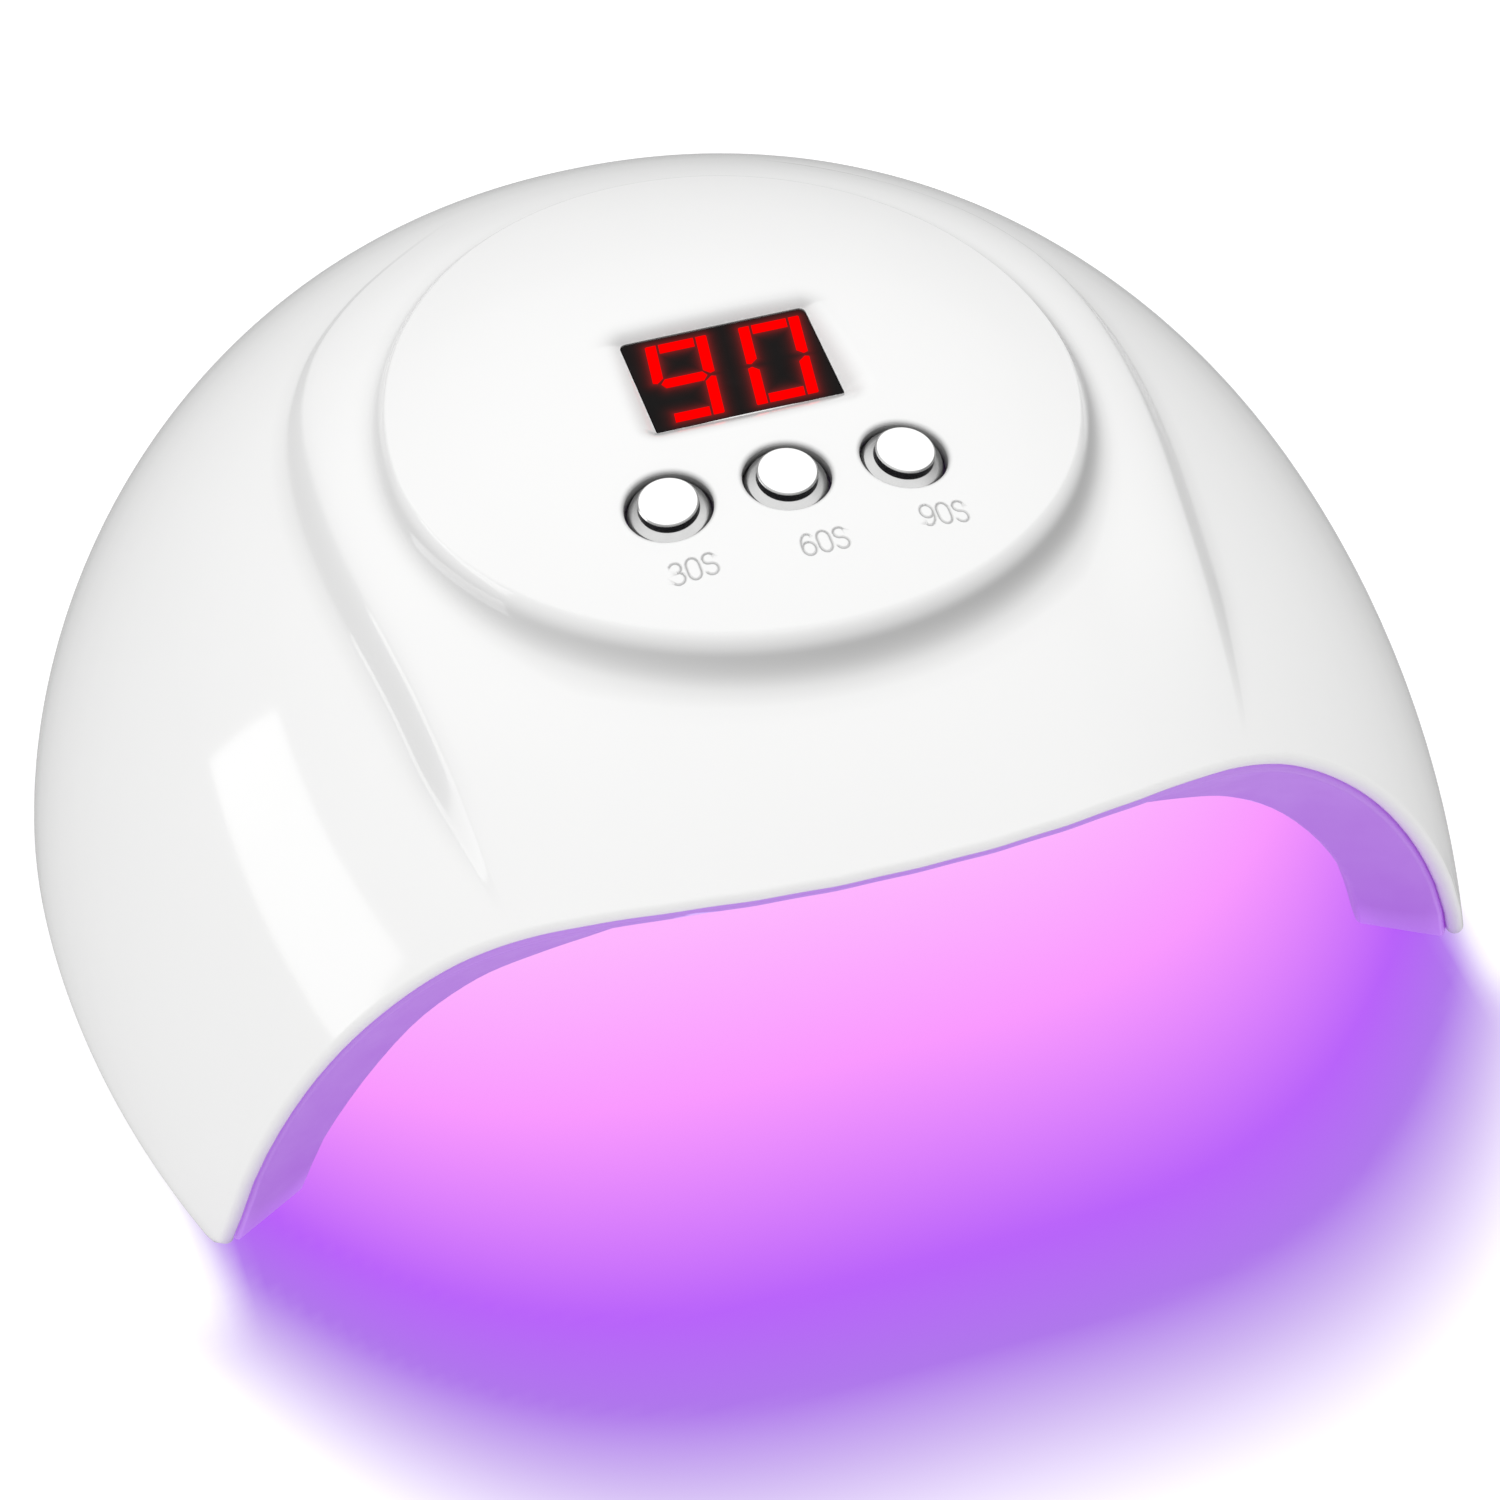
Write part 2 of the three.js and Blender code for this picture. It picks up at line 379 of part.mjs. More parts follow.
// ---------------------------------------------------------------- feet
FEET.forEach(([name, x, y]) => add(name, solid(lathe([[0, 0], [3.9, 0], [4.4, 0.5], [4.4, 2.3], [0, 2.3]], 20).translate(x, y, 0)), RUBBER));

// ---------------------------------------------------------------- internal leads
function lead(name, points, r, steps) {
  const curve = new THREE.CatmullRomCurve3(points.map((p) => V(...p)), false, "centripetal");
  const s = new THREE.Shape();
  for (let i = 0; i < 8; i++) s[i ? "lineTo" : "moveTo"](r * Math.cos((i * Math.PI) / 4), r * Math.sin((i * Math.PI) / 4));
  add(name, solid(new THREE.ExtrudeGeometry(s, { steps, extrudePath: curve, bevelEnabled: false })), LEAD_RED);
}
lead("lead_power", [[5.0, 93, 14], [8.5, 93, 15], [12, 88, 26], [16, 76, 42], [15, 62, 54.5], [12, 42, 62], [10, 24, 65.5], [9, 12, 69.2]], 1.3, 40);
lead("lead_led_top", [[-9, 2, 69.9], [-10, 3, 64], [-8, 2, 58], [-6, 0, topZ + LED_T + 0.5]], 1.2, 16);
lead("lead_led_left", [[-40, 2, topZ + LED_T + 1.6], [-47, 3, topZ + 4], [-58, 4, 50], [-66, 4, 42], [-72.3, 4, 35.6]], 1.1, 20);
lead("lead_led_right", [[40, 2, topZ + LED_T + 1.6], [47, 3, topZ + 4], [58, 4, 50], [66, 4, 42], [72.3, 4, 35.6]], 1.1, 20);
lead("lead_led_rear", [[-4, 33, topZ + LED_T + 1.6], [-4, 42, topZ + 3.5], [-4, 56, 53.5], [-4, 68, 49], [-4, 78, 39], [-4, 79.5, 34.5]], 1.1, 20);

export default lamp;
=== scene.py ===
# Desktop UV curing lamp: the looks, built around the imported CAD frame. Blender 4.5, metres, the row frame.
import math

import bpy
import numpy as np
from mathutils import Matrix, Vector
from mathutils.geometry import delaunay_2d_cdt
from mathutils.kdtree import KDTree


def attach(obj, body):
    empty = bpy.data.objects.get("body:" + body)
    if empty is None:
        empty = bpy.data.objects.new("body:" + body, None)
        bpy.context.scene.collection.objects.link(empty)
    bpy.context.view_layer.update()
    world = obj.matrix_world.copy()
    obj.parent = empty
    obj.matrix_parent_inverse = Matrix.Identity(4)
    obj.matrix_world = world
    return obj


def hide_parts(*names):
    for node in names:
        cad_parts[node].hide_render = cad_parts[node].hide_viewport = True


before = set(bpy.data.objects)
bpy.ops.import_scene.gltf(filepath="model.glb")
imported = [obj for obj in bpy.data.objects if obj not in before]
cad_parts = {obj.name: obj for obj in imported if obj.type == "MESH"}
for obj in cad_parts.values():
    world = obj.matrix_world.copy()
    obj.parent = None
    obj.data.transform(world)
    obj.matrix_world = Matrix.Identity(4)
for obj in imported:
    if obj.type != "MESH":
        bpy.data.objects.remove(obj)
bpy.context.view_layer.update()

SC = bpy.context.scene
COL = SC.collection
YC = 15.3  # the housing's own frame (mm) is shifted back by this much from the row frame
rng = np.random.default_rng(7)

# ------------------------------------------------------------------ camera
az, el, DIST = math.radians(-18.091), math.radians(45.633), 0.58188
target = Vector((-0.002293, -0.030995, 0.026704))
back = Vector((math.sin(az) * math.cos(el), -math.cos(az) * math.cos(el), math.sin(el)))
cam = bpy.data.cameras.new("camera")
cam.sensor_width, cam.lens, cam.clip_start, cam.clip_end = 36.0, 104.53, 0.02, 30.0
camo = bpy.data.objects.new("camera", cam)
COL.objects.link(camo)
camo.rotation_mode = "QUATERNION"
camo.location = target + back * DIST
camo.rotation_quaternion = (-back).to_track_quat("-Z", "Y")
SC.camera = camo


def to_row(p):
    p = np.array(p, float)
    p[..., 1] -= YC
    return p * 0.001


def norm(v):
    return v / np.maximum(np.linalg.norm(v, axis=-1, keepdims=True), 1e-12)


def smooth(t):
    t = np.clip(t, 0, 1)
    return t * t * (3 - 2 * t)


# ------------------------------------------------------------------ the housing's shape (mm)
DOME = dict(A=96.35, Bf=129.2, Bb=105.17, H=79.87, nf=2.0, nb=2.09, m1=2.546, m2=1.559, m1f=2.8, m2f=1.022, y0=0.0)
CAVITY = dict(A=77.5, Bf=140.7, Bb=77.0, H=47.5, nf=2.44, nb=2.44, m1=4.13, m2=1.452, m1f=4.13, m2f=1.452, y0=8.0)
BASE_Z, WALL, GAP = 0.8, 2.4, 0.4


def shrink(P, t):
    return {**P, "A": P["A"] - t, "Bf": P["Bf"] - t, "Bb": P["Bb"] - t, "H": P["H"] - t}


def terms(P, x, y):
    dy = y - P["y0"]
    front = dy < 0
    ax = np.abs(x) / P["A"]
    ay = np.abs(dy) / np.where(front, P["Bf"], P["Bb"])
    n = np.where(front, P["nf"], P["nb"])
    rho = (ax**n + ay**n + 1e-15) ** (1 / n)
    s = np.where(front, ay**2 / (ax**2 + ay**2 + 1e-15), 0.0)
    return rho, P["m1"] + (P["m1f"] - P["m1"]) * s, P["m2"] + (P["m2f"] - P["m2"]) * s


def dome_z(P, x, y):
    rho, m1, m2 = terms(P, x, y)
    return P["H"] * np.maximum(1 - rho**m1, 1e-9) ** (1 / m2)


def smoothed_table(points, sigma, lo, hi, step=0.25):
    xs = np.arange(lo, hi + step, step)
    p = np.array(sorted(points), float)
    v = np.interp(xs, p[:, 0], p[:, 1])
    n = int(4 * sigma / step)
    k = np.exp(-0.5 * (np.arange(-n, n + 1) * step / sigma) ** 2)
    k /= k.sum()
    pad = np.concatenate([v[0] + (v[1] - v[0]) * np.arange(-n, 0), v, v[-1] + (v[-1] - v[-2]) * np.arange(1, n + 1)])
    return xs, np.convolve(pad, k, "valid")


LIP = [(0, -74.5), (10, -74.05), (20, -72.5), (30, -69.9), (40, -66.5), (45, -64.6), (50, -62.9), (55, -61.4), (60, -60.3), (65, -59.4), (70, -58.6), (75, -58.05), (80, -57.7), (86, -57.3), (110, -57.3)]
LIP_T = smoothed_table(LIP + [(-a, b) for a, b in LIP[1:]], 1.6, -108, 108)


def lip_y(x):
    return np.interp(x, *LIP_T)


# raised oval with a convex crest and a concave skirt
OA, OBF, OBB, OYC = 46.6, 48.4, 52.4, -3.0


def oval_rise(y):
    return 3.0 - 1.8 * smooth((y + 10) / 60)


def oval_local(x, y):
    v = y - OYC
    ex, ey = x / OA, v / np.where(v < 0, OBF, OBB)
    e = np.hypot(ex, ey) + 1e-12
    c, s = ex / e, ey / e
    R = np.hypot(OA * c, np.where(v < 0, OBF, OBB) * s)
    fr = np.maximum(-s, 0) ** 1.3
    return (1 - e) * R, 1.9 + 2.9 * fr, fr


def oval_share(x, y):
    d, w, fr = oval_local(x, y)
    raw = np.minimum(np.maximum(d / w, 0) ** 2.4, 9)
    k = 0.26 + 0.2 * (1 - fr)
    h = np.clip(0.5 + 0.5 * (1 - raw) / k, 0, 1)
    return (1 - h) + raw * h - k * h * (1 - h)


# hood crease: the middle panel stands above the side panels, along |x| = crease_x(y)
CREASE = [(82, -50), (72, 0), (70, 5), (66, 11.5), (60, 18), (55, 24), (50, 31), (45, 38), (40, 43), (35, 47), (30, 49.5), (24, 52), (16, 53.8), (8, 54.7), (0, 55), (-8, 54.7), (-16, 54), (-24, 53), (-32, 52), (-40, 51.2), (-48, 50), (-56, 48.8), (-61, 47.8), (-70, 46.2), (-90, 42)]
CREASE_T = smoothed_table(CREASE, 2.2, -92, 82)
CREASE_S = np.gradient(CREASE_T[1], CREASE_T[0])


def crease_local(x, y):
    c = np.interp(y, *CREASE_T)
    sl = np.interp(y, CREASE_T[0], CREASE_S)
    amp = np.where(y > 0, 1 - smooth((y - 2) / 56), 1 - smooth((-38 - y) / 24))
    return (np.abs(x) - c) / np.sqrt(1 + sl * sl), amp, 2.6 * (0.3 + 0.7 * amp)


def crease_h(x, y):
    d, amp, w = crease_local(x, y)
    q, k = d / w, 0.05
    r = k * (np.logaddexp(0, (q + 0.5) / k) - np.logaddexp(0, (q - 0.5) / k))
    up = 1.8 * (1 - smooth(np.maximum(-d - w / 2, 0) / 16)) * (1 - 0.8 * smooth(oval_share(x, y)))
    down = -0.5 * (1 - smooth(np.maximum(d - w / 2, 0) / 25))
    return amp * (up * (1 - r) + down * r)


def relief(x, y):
    return oval_rise(y) * oval_share(x, y) + crease_h(x, y)


def relief_in(x, y):
    d, _, _ = oval_local(x, y)
    return oval_rise(y) * smooth((d - 3.0) / 5.0)


def implicit(P, h):
    def F(p):
        x, y, z = p[..., 0], p[..., 1], p[..., 2]
        rho, m1, m2 = terms(P, x, y)
        zz = z if h is None else z - h(x, y)
        return rho**m1 + (np.maximum(zz, 0) / P["H"]) ** m2 - 1

    return F


def grad(F, p, e=2e-3):
    g = np.empty(p.shape)
    for i in range(3):
        d = np.zeros(3)
        d[i] = e
        g[..., i] = (F(p + d) - F(p - d)) / (2 * e)
    return norm(g)


def ray_on(F, p, n, steps=14):
    """Moves each point along n until it lies on F = 0."""
    t = np.zeros(p.shape[:-1])
    for _ in range(steps):
        q = p + t[..., None] * n
        f = F(q)
        df = (F(q + 0.01 * n) - F(q - 0.01 * n)) / 0.02
        t = t - np.clip(f / np.where(np.abs(df) < 1e-6, 1e-6, df), -4, 4)
    return p + t[..., None] * n


# ------------------------------------------------------------------ mesh assembly
class Body:
    """Vertices with faces that carry their own corner normals."""

    def __init__(self):
        self.v, self.n, self.f, self.fn, self.mat = [], 0, [], [], []

    def verts(self, p):
        p = np.asarray(p, float).reshape(-1, 3)
        ids = np.arange(self.n, self.n + len(p))
        self.v.append(p)
        self.n += len(p)
        return ids

    def pos(self):
        return np.concatenate(self.v)

    def faces(self, f, normals, mat=0):
        """f: (k, 3 or 4) vertex ids; normals: same shape + (3,), or None for flat faces."""
        f = np.asarray(f, int)
        if len(f) == 0:
            return
        self.f.append(f)
        self.fn.append(normals)
        self.mat.append(mat)

    def grid(self, ids, nrm, wrap=True, flip=False, mat=0):
        """ids: (rings, n) vertex ids; nrm: (rings, n, 3)."""
        a = ids[:-1]
        b = ids[1:]
        ar, br = np.roll(a, -1, 1), np.roll(b, -1, 1)
        na, nb = nrm[:-1], nrm[1:]
        nar, nbr = np.roll(na, -1, 1), np.roll(nb, -1, 1)
        q = np.stack([a, b, br, ar], -1)
        qn = np.stack([na, nb, nbr, nar], -2)
        if not wrap:
            q, qn = q[:, :-1], qn[:, :-1]
        if flip:
            q, qn = q[..., ::-1], qn[..., ::-1, :]
        self.faces(q.reshape(-1, 4), qn.reshape(-1, 4, 3), mat)

    def build(self, name, materials, body="root", clean=True):
        P = to_row(self.pos())
        used = np.zeros(len(P), bool)
        for f in self.f:
            used[f.ravel()] = True
        remap = np.cumsum(used) - 1
        P = P[used]
        loops, starts, totals, nrms, mats = [], [], [], [], []
        at = 0
        for f, fn, m in zip(self.f, self.fn, self.mat):
            k = f.shape[1]
            g = remap[f]
            if fn is None:
                a, b, c = P[g[:, 0]], P[g[:, 1]], P[g[:, 2]]
                fl = norm(np.cross(b - a, c - a))
                fn = np.repeat(fl[:, None, :], k, 1)
            loops.append(g.ravel())
            starts.append(at + np.arange(len(g)) * k)
            totals.append(np.full(len(g), k))
            nrms.append(fn.reshape(-1, 3))
            mats.append(np.full(len(g), m))
            at += g.size
        loops, starts, totals = np.concatenate(loops), np.concatenate(starts), np.concatenate(totals)
        nrms, mats = np.concatenate(nrms), np.concatenate(mats)
        me = bpy.data.meshes.new(name)
        me.vertices.add(len(P))
        me.vertices.foreach_set("co", P.astype(np.float32).ravel())
        me.loops.add(len(loops))
        me.loops.foreach_set("vertex_index", loops.astype(np.int32))
        me.polygons.add(len(starts))
        me.polygons.foreach_set("loop_start", starts.astype(np.int32))
        me.polygons.foreach_set("loop_total", totals.astype(np.int32))
        me.update(calc_edges=True)
        me.polygons.foreach_set("material_index", mats.astype(np.int32))
        me.polygons.foreach_set("use_smooth", np.ones(len(starts), bool))
        bad = me.validate(verbose=False)
        if bad or len(me.loops) != len(loops):
            print("mesh", name, "needed validation", len(loops), "->", len(me.loops))
        else:
            me.normals_split_custom_set(norm(nrms).astype(np.float32))
        ob = bpy.data.objects.new(name, me)
        COL.objects.link(ob)
        for m in materials:
            me.materials.append(m)
        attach(ob, body)
        return ob


def inside_polygon(pts, loop):
    x, y = pts[:, 0], pts[:, 1]
    c = np.zeros(len(pts), bool)
    a = loop
    b = np.roll(loop, -1, 0)
    for (x0, y0), (x1, y1) in zip(a, b):
        hit = ((y0 > y) != (y1 > y))
        if y1 != y0:
            c ^= hit & (x < (x1 - x0) * (y - y0) / (y1 - y0) + x0)
    return c


def thin_points(pts, keep, dist):
    """Drops points closer than dist to one already kept (or in keep)."""
    pts = np.asarray(pts, float)
    cell = {}
    out = []

    def near(p):
        i, j = int(math.floor(p[0] / dist)), int(math.floor(p[1] / dist))
        for a in (i - 1, i, i + 1):
            for b in (j - 1, j, j + 1):
                for q in cell.get((a, b), ()):
                    if (q[0] - p[0]) ** 2 + (q[1] - p[1]) ** 2 < dist * dist:
                        return True
        return False

    for p in keep:
        cell.setdefault((int(math.floor(p[0] / dist)), int(math.floor(p[1] / dist))), []).append(p)
    for p in pts:
        if not near(p):
            out.append(p)
            cell.setdefault((int(math.floor(p[0] / dist)), int(math.floor(p[1] / dist))), []).append(p)
    return np.array(out).reshape(-1, 2)


def triangulate(loop, holes, pts):
    """Triangles over loop + holes + points, as indices in that order, counter-clockwise."""
    allp = np.concatenate([loop] + list(holes) + [pts])
    edges, at = [], 0
    for L in [loop] + list(holes):
        edges += [(at + i, at + (i + 1) % len(L)) for i in range(len(L))]
        at += len(L)
    vco, _, fc, ov, _, _ = delaunay_2d_cdt([Vector((float(a), float(b))) for a, b in allp], edges, [], 0, 1e-7, True)
    ids = np.array([o[0] if len(o) else -1 for o in ov])
    if (ids < 0).any():
        raise ValueError("crossing constraints in a patch")
    t = ids[np.array([list(f) for f in fc])]
    c = allp[t].mean(1)
    ok = inside_polygon(c, loop)
    for h in holes:
        ok &= ~inside_polygon(c, h)
    t = t[ok]
    a, b, c = allp[t[:, 0]], allp[t[:, 1]], allp[t[:, 2]]
    area = (b[:, 0] - a[:, 0]) * (c[:, 1] - a[:, 1]) - (b[:, 1] - a[:, 1]) * (c[:, 0] - a[:, 0])
    t[area < 0] = t[area < 0][:, ::-1]
    return t[np.abs(area) > 1e-9]


def boundary_loop(removed):
    """The one loop round a set of removed faces, in their own winding."""
    edges = set()
    for f in removed:
        f = list(f)
        for i in range(len(f)):
            edges.add((f[i], f[(i + 1) % len(f)]))
    nxt = {a: b for a, b in edges if (b, a) not in edges}
    start = next(iter(sorted(nxt)))
    loop = [start]
    while nxt[loop[-1]] != start:
        loop.append(nxt[loop[-1]])
        if len(loop) > len(nxt):
            raise ValueError("a patch's edge isn't one loop")
    if len(loop) != len(nxt):
        print("warning: patch edge has", len(nxt), "edges and its loop", len(loop))
    return np.array(loop)


# ------------------------------------------------------------------ parts of the panel (mm, housing frame)
TILT = math.radians(3.4)
DECK_O = np.array([0, -0.93, 80.7])
DECK_N = np.array([0, -math.sin(TILT), math.cos(TILT)])
DECK_X = np.array([1.0, 0, 0])
DECK_Y = np.cross(DECK_N, DECK_X)
WIN_W, WIN_H = 24.7, 16.34


def on_deck(p):
    p = np.asarray(p, float)
    return DECK_O + p[..., :1] * DECK_X + p[..., 1:2] * DECK_Y + p[..., 2:3] * DECK_N


WELL_R, WELL_FILLET = 5.55, 0.7
BUTTONS = []
for bid, k in (("30s", -1), ("60s", 0), ("90s", 1)):
    d = math.pi / 180
    nx, ny = k * math.sin(6.3 * d), -math.sin(8.0 * d)
    bn = np.array([nx, ny, math.sqrt(1 - nx * nx - ny * ny)])
    bx, by = k * 15.39, -23.48
    top = np.array([bx, by, float(dome_z(DOME, np.array(bx), np.array(by)) + oval_rise(by))]) + 0.8 * bn
    ux = norm(np.array([1.0, 0, 0]) - bn[0] * bn)
    BUTTONS.append(dict(id=bid, n=bn, top=top, x=ux, y=np.cross(bn, ux), stem=6.3 + (0 if k else 0.7)))


def rounded_rect(w, h, r_top, r_bot, off, step):
    """Outline of a w x h rectangle grown by off, counter-clockwise, with rounded corners."""
    out = []
    for cx, cy, a0, r in ((w / 2, -h / 2, -90, r_bot), (w / 2, h / 2, 0, r_top), (-w / 2, h / 2, 90, r_top), (-w / 2, -h / 2, 180, r_bot)):
        sx, sy = np.sign(cx), np.sign(cy)
        n = max(4, int(math.ceil((r + off) * math.pi / 2 / step)))
        for i in range(n + 1):
            a = math.radians(a0 + 90 * i / n)
            out.append((cx - sx * r + (r + off) * math.cos(a), cy - sy * r + (r + off) * math.sin(a)))
    out = np.array(out)
    res = []
    for a, b in zip(out, np.roll(out, -1, 0)):
        n = max(1, int(round(np.linalg.norm(b - a) / step)))
        for i in range(n):
            res.append(a + (b - a) * i / n)
    return np.array(res)


def rect_distance(u, v, w, h, r_top, r_bot):
    r = np.where(v > 0, r_top, r_bot)
    qx, qy = np.abs(u) - (w / 2 - r), np.abs(v) - (h / 2 - r)
    return np.hypot(np.maximum(qx, 0), np.maximum(qy, 0)) + np.minimum(np.maximum(qx, qy), 0) - r


# thin timer numerals, as strokes on a 0.6 x 1 body
def arc(cx, cy, rx, ry, a0, a1, n=18):
    a = np.radians(np.linspace(a0, a1, n))
    return [(cx + rx * math.cos(t), cy + ry * math.sin(t)) for t in a]


GLYPH = {
    "0": [arc(0.3, 0.66, 0.25, 0.34, 0, 180, 18) + arc(0.3, 0.34, 0.25, 0.34, 180, 360, 18) + [(0.55, 0.66)]],
    "3": [arc(0.29, 0.755, 0.23, 0.245, 150, -80, 16), arc(0.29, 0.27, 0.26, 0.27, 88, -150, 18)],
    "6": [[(0.5, 0.9), (0.45, 0.965), (0.37, 1.0), (0.28, 0.985), (0.18, 0.9), (0.1, 0.77), (0.055, 0.6), (0.04, 0.42), (0.045, 0.31)], arc(0.3, 0.31, 0.255, 0.31, -180, 180, 28)],
    "9": [[(0.1, 0.1), (0.15, 0.035), (0.23, 0.0), (0.32, 0.015), (0.42, 0.1), (0.5, 0.23), (0.545, 0.4), (0.56, 0.58), (0.555, 0.69)], arc(0.3, 0.69, 0.255, 0.31, 0, 360, 28)],
    "S": [arc(0.3, 0.76, 0.23, 0.24, 25, 265, 18) + arc(0.3, 0.26, 0.25, 0.26, 85, -155, 18)],
}
TEXT_H, TEXT_PITCH = 3.2, 2.12
LABELS = [("30S", -15.45, -33.95), ("60S", 1.0, -34.95), ("90S", 16.95, -33.8)]
STROKES = []
for text, cx, cy in LABELS:
    for i, ch in enumerate(text):
        for line in GLYPH[ch]:
            q = np.array(line)
            STROKES.append(np.stack([cx + (i - 1) * TEXT_PITCH + (q[:, 0] - 0.3) * TEXT_H, cy + (q[:, 1] - 0.5) * TEXT_H], 1))
SEG_A = np.concatenate([s[:-1] for s in STROKES])
SEG_B = np.concatenate([s[1:] for s in STROKES])
GROOVE_W, GROOVE_D = 0.18, 0.16


def stroke_distance(p):
    best = np.full(len(p), 1e9)
    near = (p[:, 1] < -31.5) & (p[:, 1] > -37.5)
    idx = np.nonzero(near)[0]
    if len(idx):
        q = p[idx][:, None, :]
        ab = (SEG_B - SEG_A)[None]
        t = np.clip(((q - SEG_A[None]) * ab).sum(-1) / np.maximum((ab * ab).sum(-1), 1e-12), 0, 1)
        best[idx] = np.linalg.norm(q - (SEG_A[None] + t[..., None] * ab), axis=-1).min(1)
    return best


# ------------------------------------------------------------------ top shell
F_OUT = implicit(DOME, relief)
F_IN = implicit(shrink(DOME, WALL), relief_in)
NT, ROLL = 480, WALL / 2


def polar_table(P, h, edge, n_theta, n_f=640):
    """Points of a dome along straight plan rays, ending at edge(x, y, z) = 0. Returns theta, table f, and arrays."""
    th = 2 * math.pi * (np.arange(n_theta) + 0.5) / n_theta
    c, s = np.cos(th), np.sin(th)
    front = s < 0
    B = np.where(front, P["Bf"], P["Bb"])
    n = np.where(front, P["nf"], P["nb"])
    k = ((np.abs(c) / P["A"]) ** n + (np.abs(s) / B) ** n) ** (-1 / n)
    _, m1, m2 = terms(P, k * c, P["y0"] + k * s)

    def at(f):
        rho = np.cos(f) ** (2 / m1[:, None])
        x, y = (k * c)[:, None] * rho, P["y0"] + (k * s)[:, None] * rho
        z = P["H"] * np.sin(f) ** (2 / m2[:, None])
        if h is not None:
            z = z + h(x, y)
        return np.stack([x, y, z], -1)

    f = np.repeat(np.linspace(math.pi / 2, 0.0, n_f)[None], n_theta, 0)
    T = at(f)
    step = np.linalg.norm(np.diff(T, axis=1), axis=-1)
    arcl = np.concatenate([np.zeros((n_theta, 1)), np.cumsum(step, 1)], 1)
    return th, f, T, arcl, at, edge(T[..., 0], T[..., 1], T[..., 2])


def first_crossing(g, arcl, default):
    """Arc length where g first goes from positive to negative along each row."""
    out = default.copy()
    neg = g < 0
    neg[:, 0] = False
    has = neg.any(1)
    j = np.argmax(neg, 1)
    r = np.nonzero(has)[0]
    jj = np.maximum(j[r], 1)
    g0, g1 = g[r, jj - 1], g[r, jj]
    t = np.clip(g0 / np.where(g0 - g1 == 0, 1, g0 - g1), 0, 1)
    out[r] = arcl[r, jj - 1] + t * (arcl[r, jj] - arcl[r, jj - 1])
    return out


def circ_smooth(v, n):
    k = np.exp(-0.5 * (np.arange(-3 * n, 3 * n + 1) / n) ** 2)
    k /= k.sum()
    return np.convolve(np.concatenate([v[-3 * n:], v, v[:3 * n]]), k, "valid")


def rounded_edge(d1, d2, R):
    return R - np.hypot(np.maximum(R - d1, 0), np.maximum(R - d2, 0))


def shell_edge(x, y, z):
    # the housing's lower edge and the front lip, with a rounded corner at each front foot
    return rounded_edge(y - (lip_y(x) + ROLL), z - (BASE_Z + ROLL), 3.2)


th, ft, T, arcl, shell_at, eg = polar_table(DOME, relief, shell_edge, NT)
sE = first_crossing(eg, arcl, arcl[:, -1])
od, ow, _ = oval_local(T[..., 0], T[..., 1])
sA = first_crossing(od - ow * 1.22 - 0.4, arcl, np.full(NT, 40.0))
sB = first_crossing(od + 0.5, arcl, np.full(NT, 47.0))
cd, _, cw = crease_local(T[..., 0], T[..., 1])
sC = first_crossing(-(cd + cw / 2 + 0.55), arcl, sE - 4.0)
sD = first_crossing(-(cd - cw / 2 - 0.55), arcl, sE - 1.6)
sC = np.minimum(sC, sE - 4.0)
sD = np.clip(sD, sC + 2.0, sE - 1.2)
sC, sD = circ_smooth(sC, 2), circ_smooth(sD, 2)
sC = np.maximum(sC, sB + 1.0)
sD = np.clip(sD, sC + 1.0, sE - 0.8)


def spread(a, b, n, power=1.0):
    u = (np.arange(1, n + 1) / n) ** power
    return a[:, None] + (b - a)[:, None] * u[None]


S_ = np.concatenate([spread(np.zeros(NT), sA, 34), spread(sA, sB, 20), spread(sB, sC, 9), spread(sC, sD, 15), spread(sD, sE, 34)], 1)
fs = np.stack([np.interp(S_[i], arcl[i], ft[i]) for i in range(NT)])
P_out = shell_at(fs).transpose(1, 0, 2)  # rings, theta
N_out = grad(F_OUT, P_out)
NR = P_out.shape[0]
apex = np.array([0, 0, float(dome_z(DOME, np.array(0.0), np.array(0.0)) + relief(np.array(0.0), np.array(0.0)))])

shell = Body()
apex_id = shell.verts(apex)[0]
ids = shell.verts(P_out).reshape(NR, NT)
fan = np.stack([np.full(NT, apex_id), ids[0], np.roll(ids[0], -1)], -1)
quads = np.stack([ids[:-1], ids[1:], np.roll(ids[1:], -1, 1), np.roll(ids[:-1], -1, 1)], -1).reshape(-1, 4)
NV = np.concatenate([[[0, 0, 1.0]], N_out.reshape(-1, 3)])
PV = np.concatenate([[apex], P_out.reshape(-1, 3)])


def cut(mask, tri, quad):
    """Splits faces into kept and removed by a vertex mask."""
    rt, rq = mask[tri].all(1), mask[quad].all(1)
    return tri[~rt], quad[~rq], list(map(tuple, tri[rt])) + list(map(tuple, quad[rq]))


# panel patch: wells, display pocket, numerals
PANEL = (-25.6, 25.6, -38.6, 13.4)
m_top = (PV[:, 0] > PANEL[0]) & (PV[:, 0] < PANEL[1]) & (PV[:, 1] > PANEL[2]) & (PV[:, 1] < PANEL[3])
fan, quads, gone = cut(m_top, fan, quads)
loop_top = boundary_loop(gone)
# rear patch: cooling slots and the inlet hole
m_rear = (np.abs(PV[:, 0]) < 23.5) & (PV[:, 1] > 40) & (PV[:, 2] > 6.5) & (PV[:, 2] < 44)
fan, quads, gone = cut(m_rear, fan, quads)
loop_rear = boundary_loop(gone)
shell.faces(fan, NV[fan])
shell.faces(quads, NV[quads])

POCKET_R_TOP, POCKET_R_BOT = 0.9, 0.25
WIN_GAP = 0.12


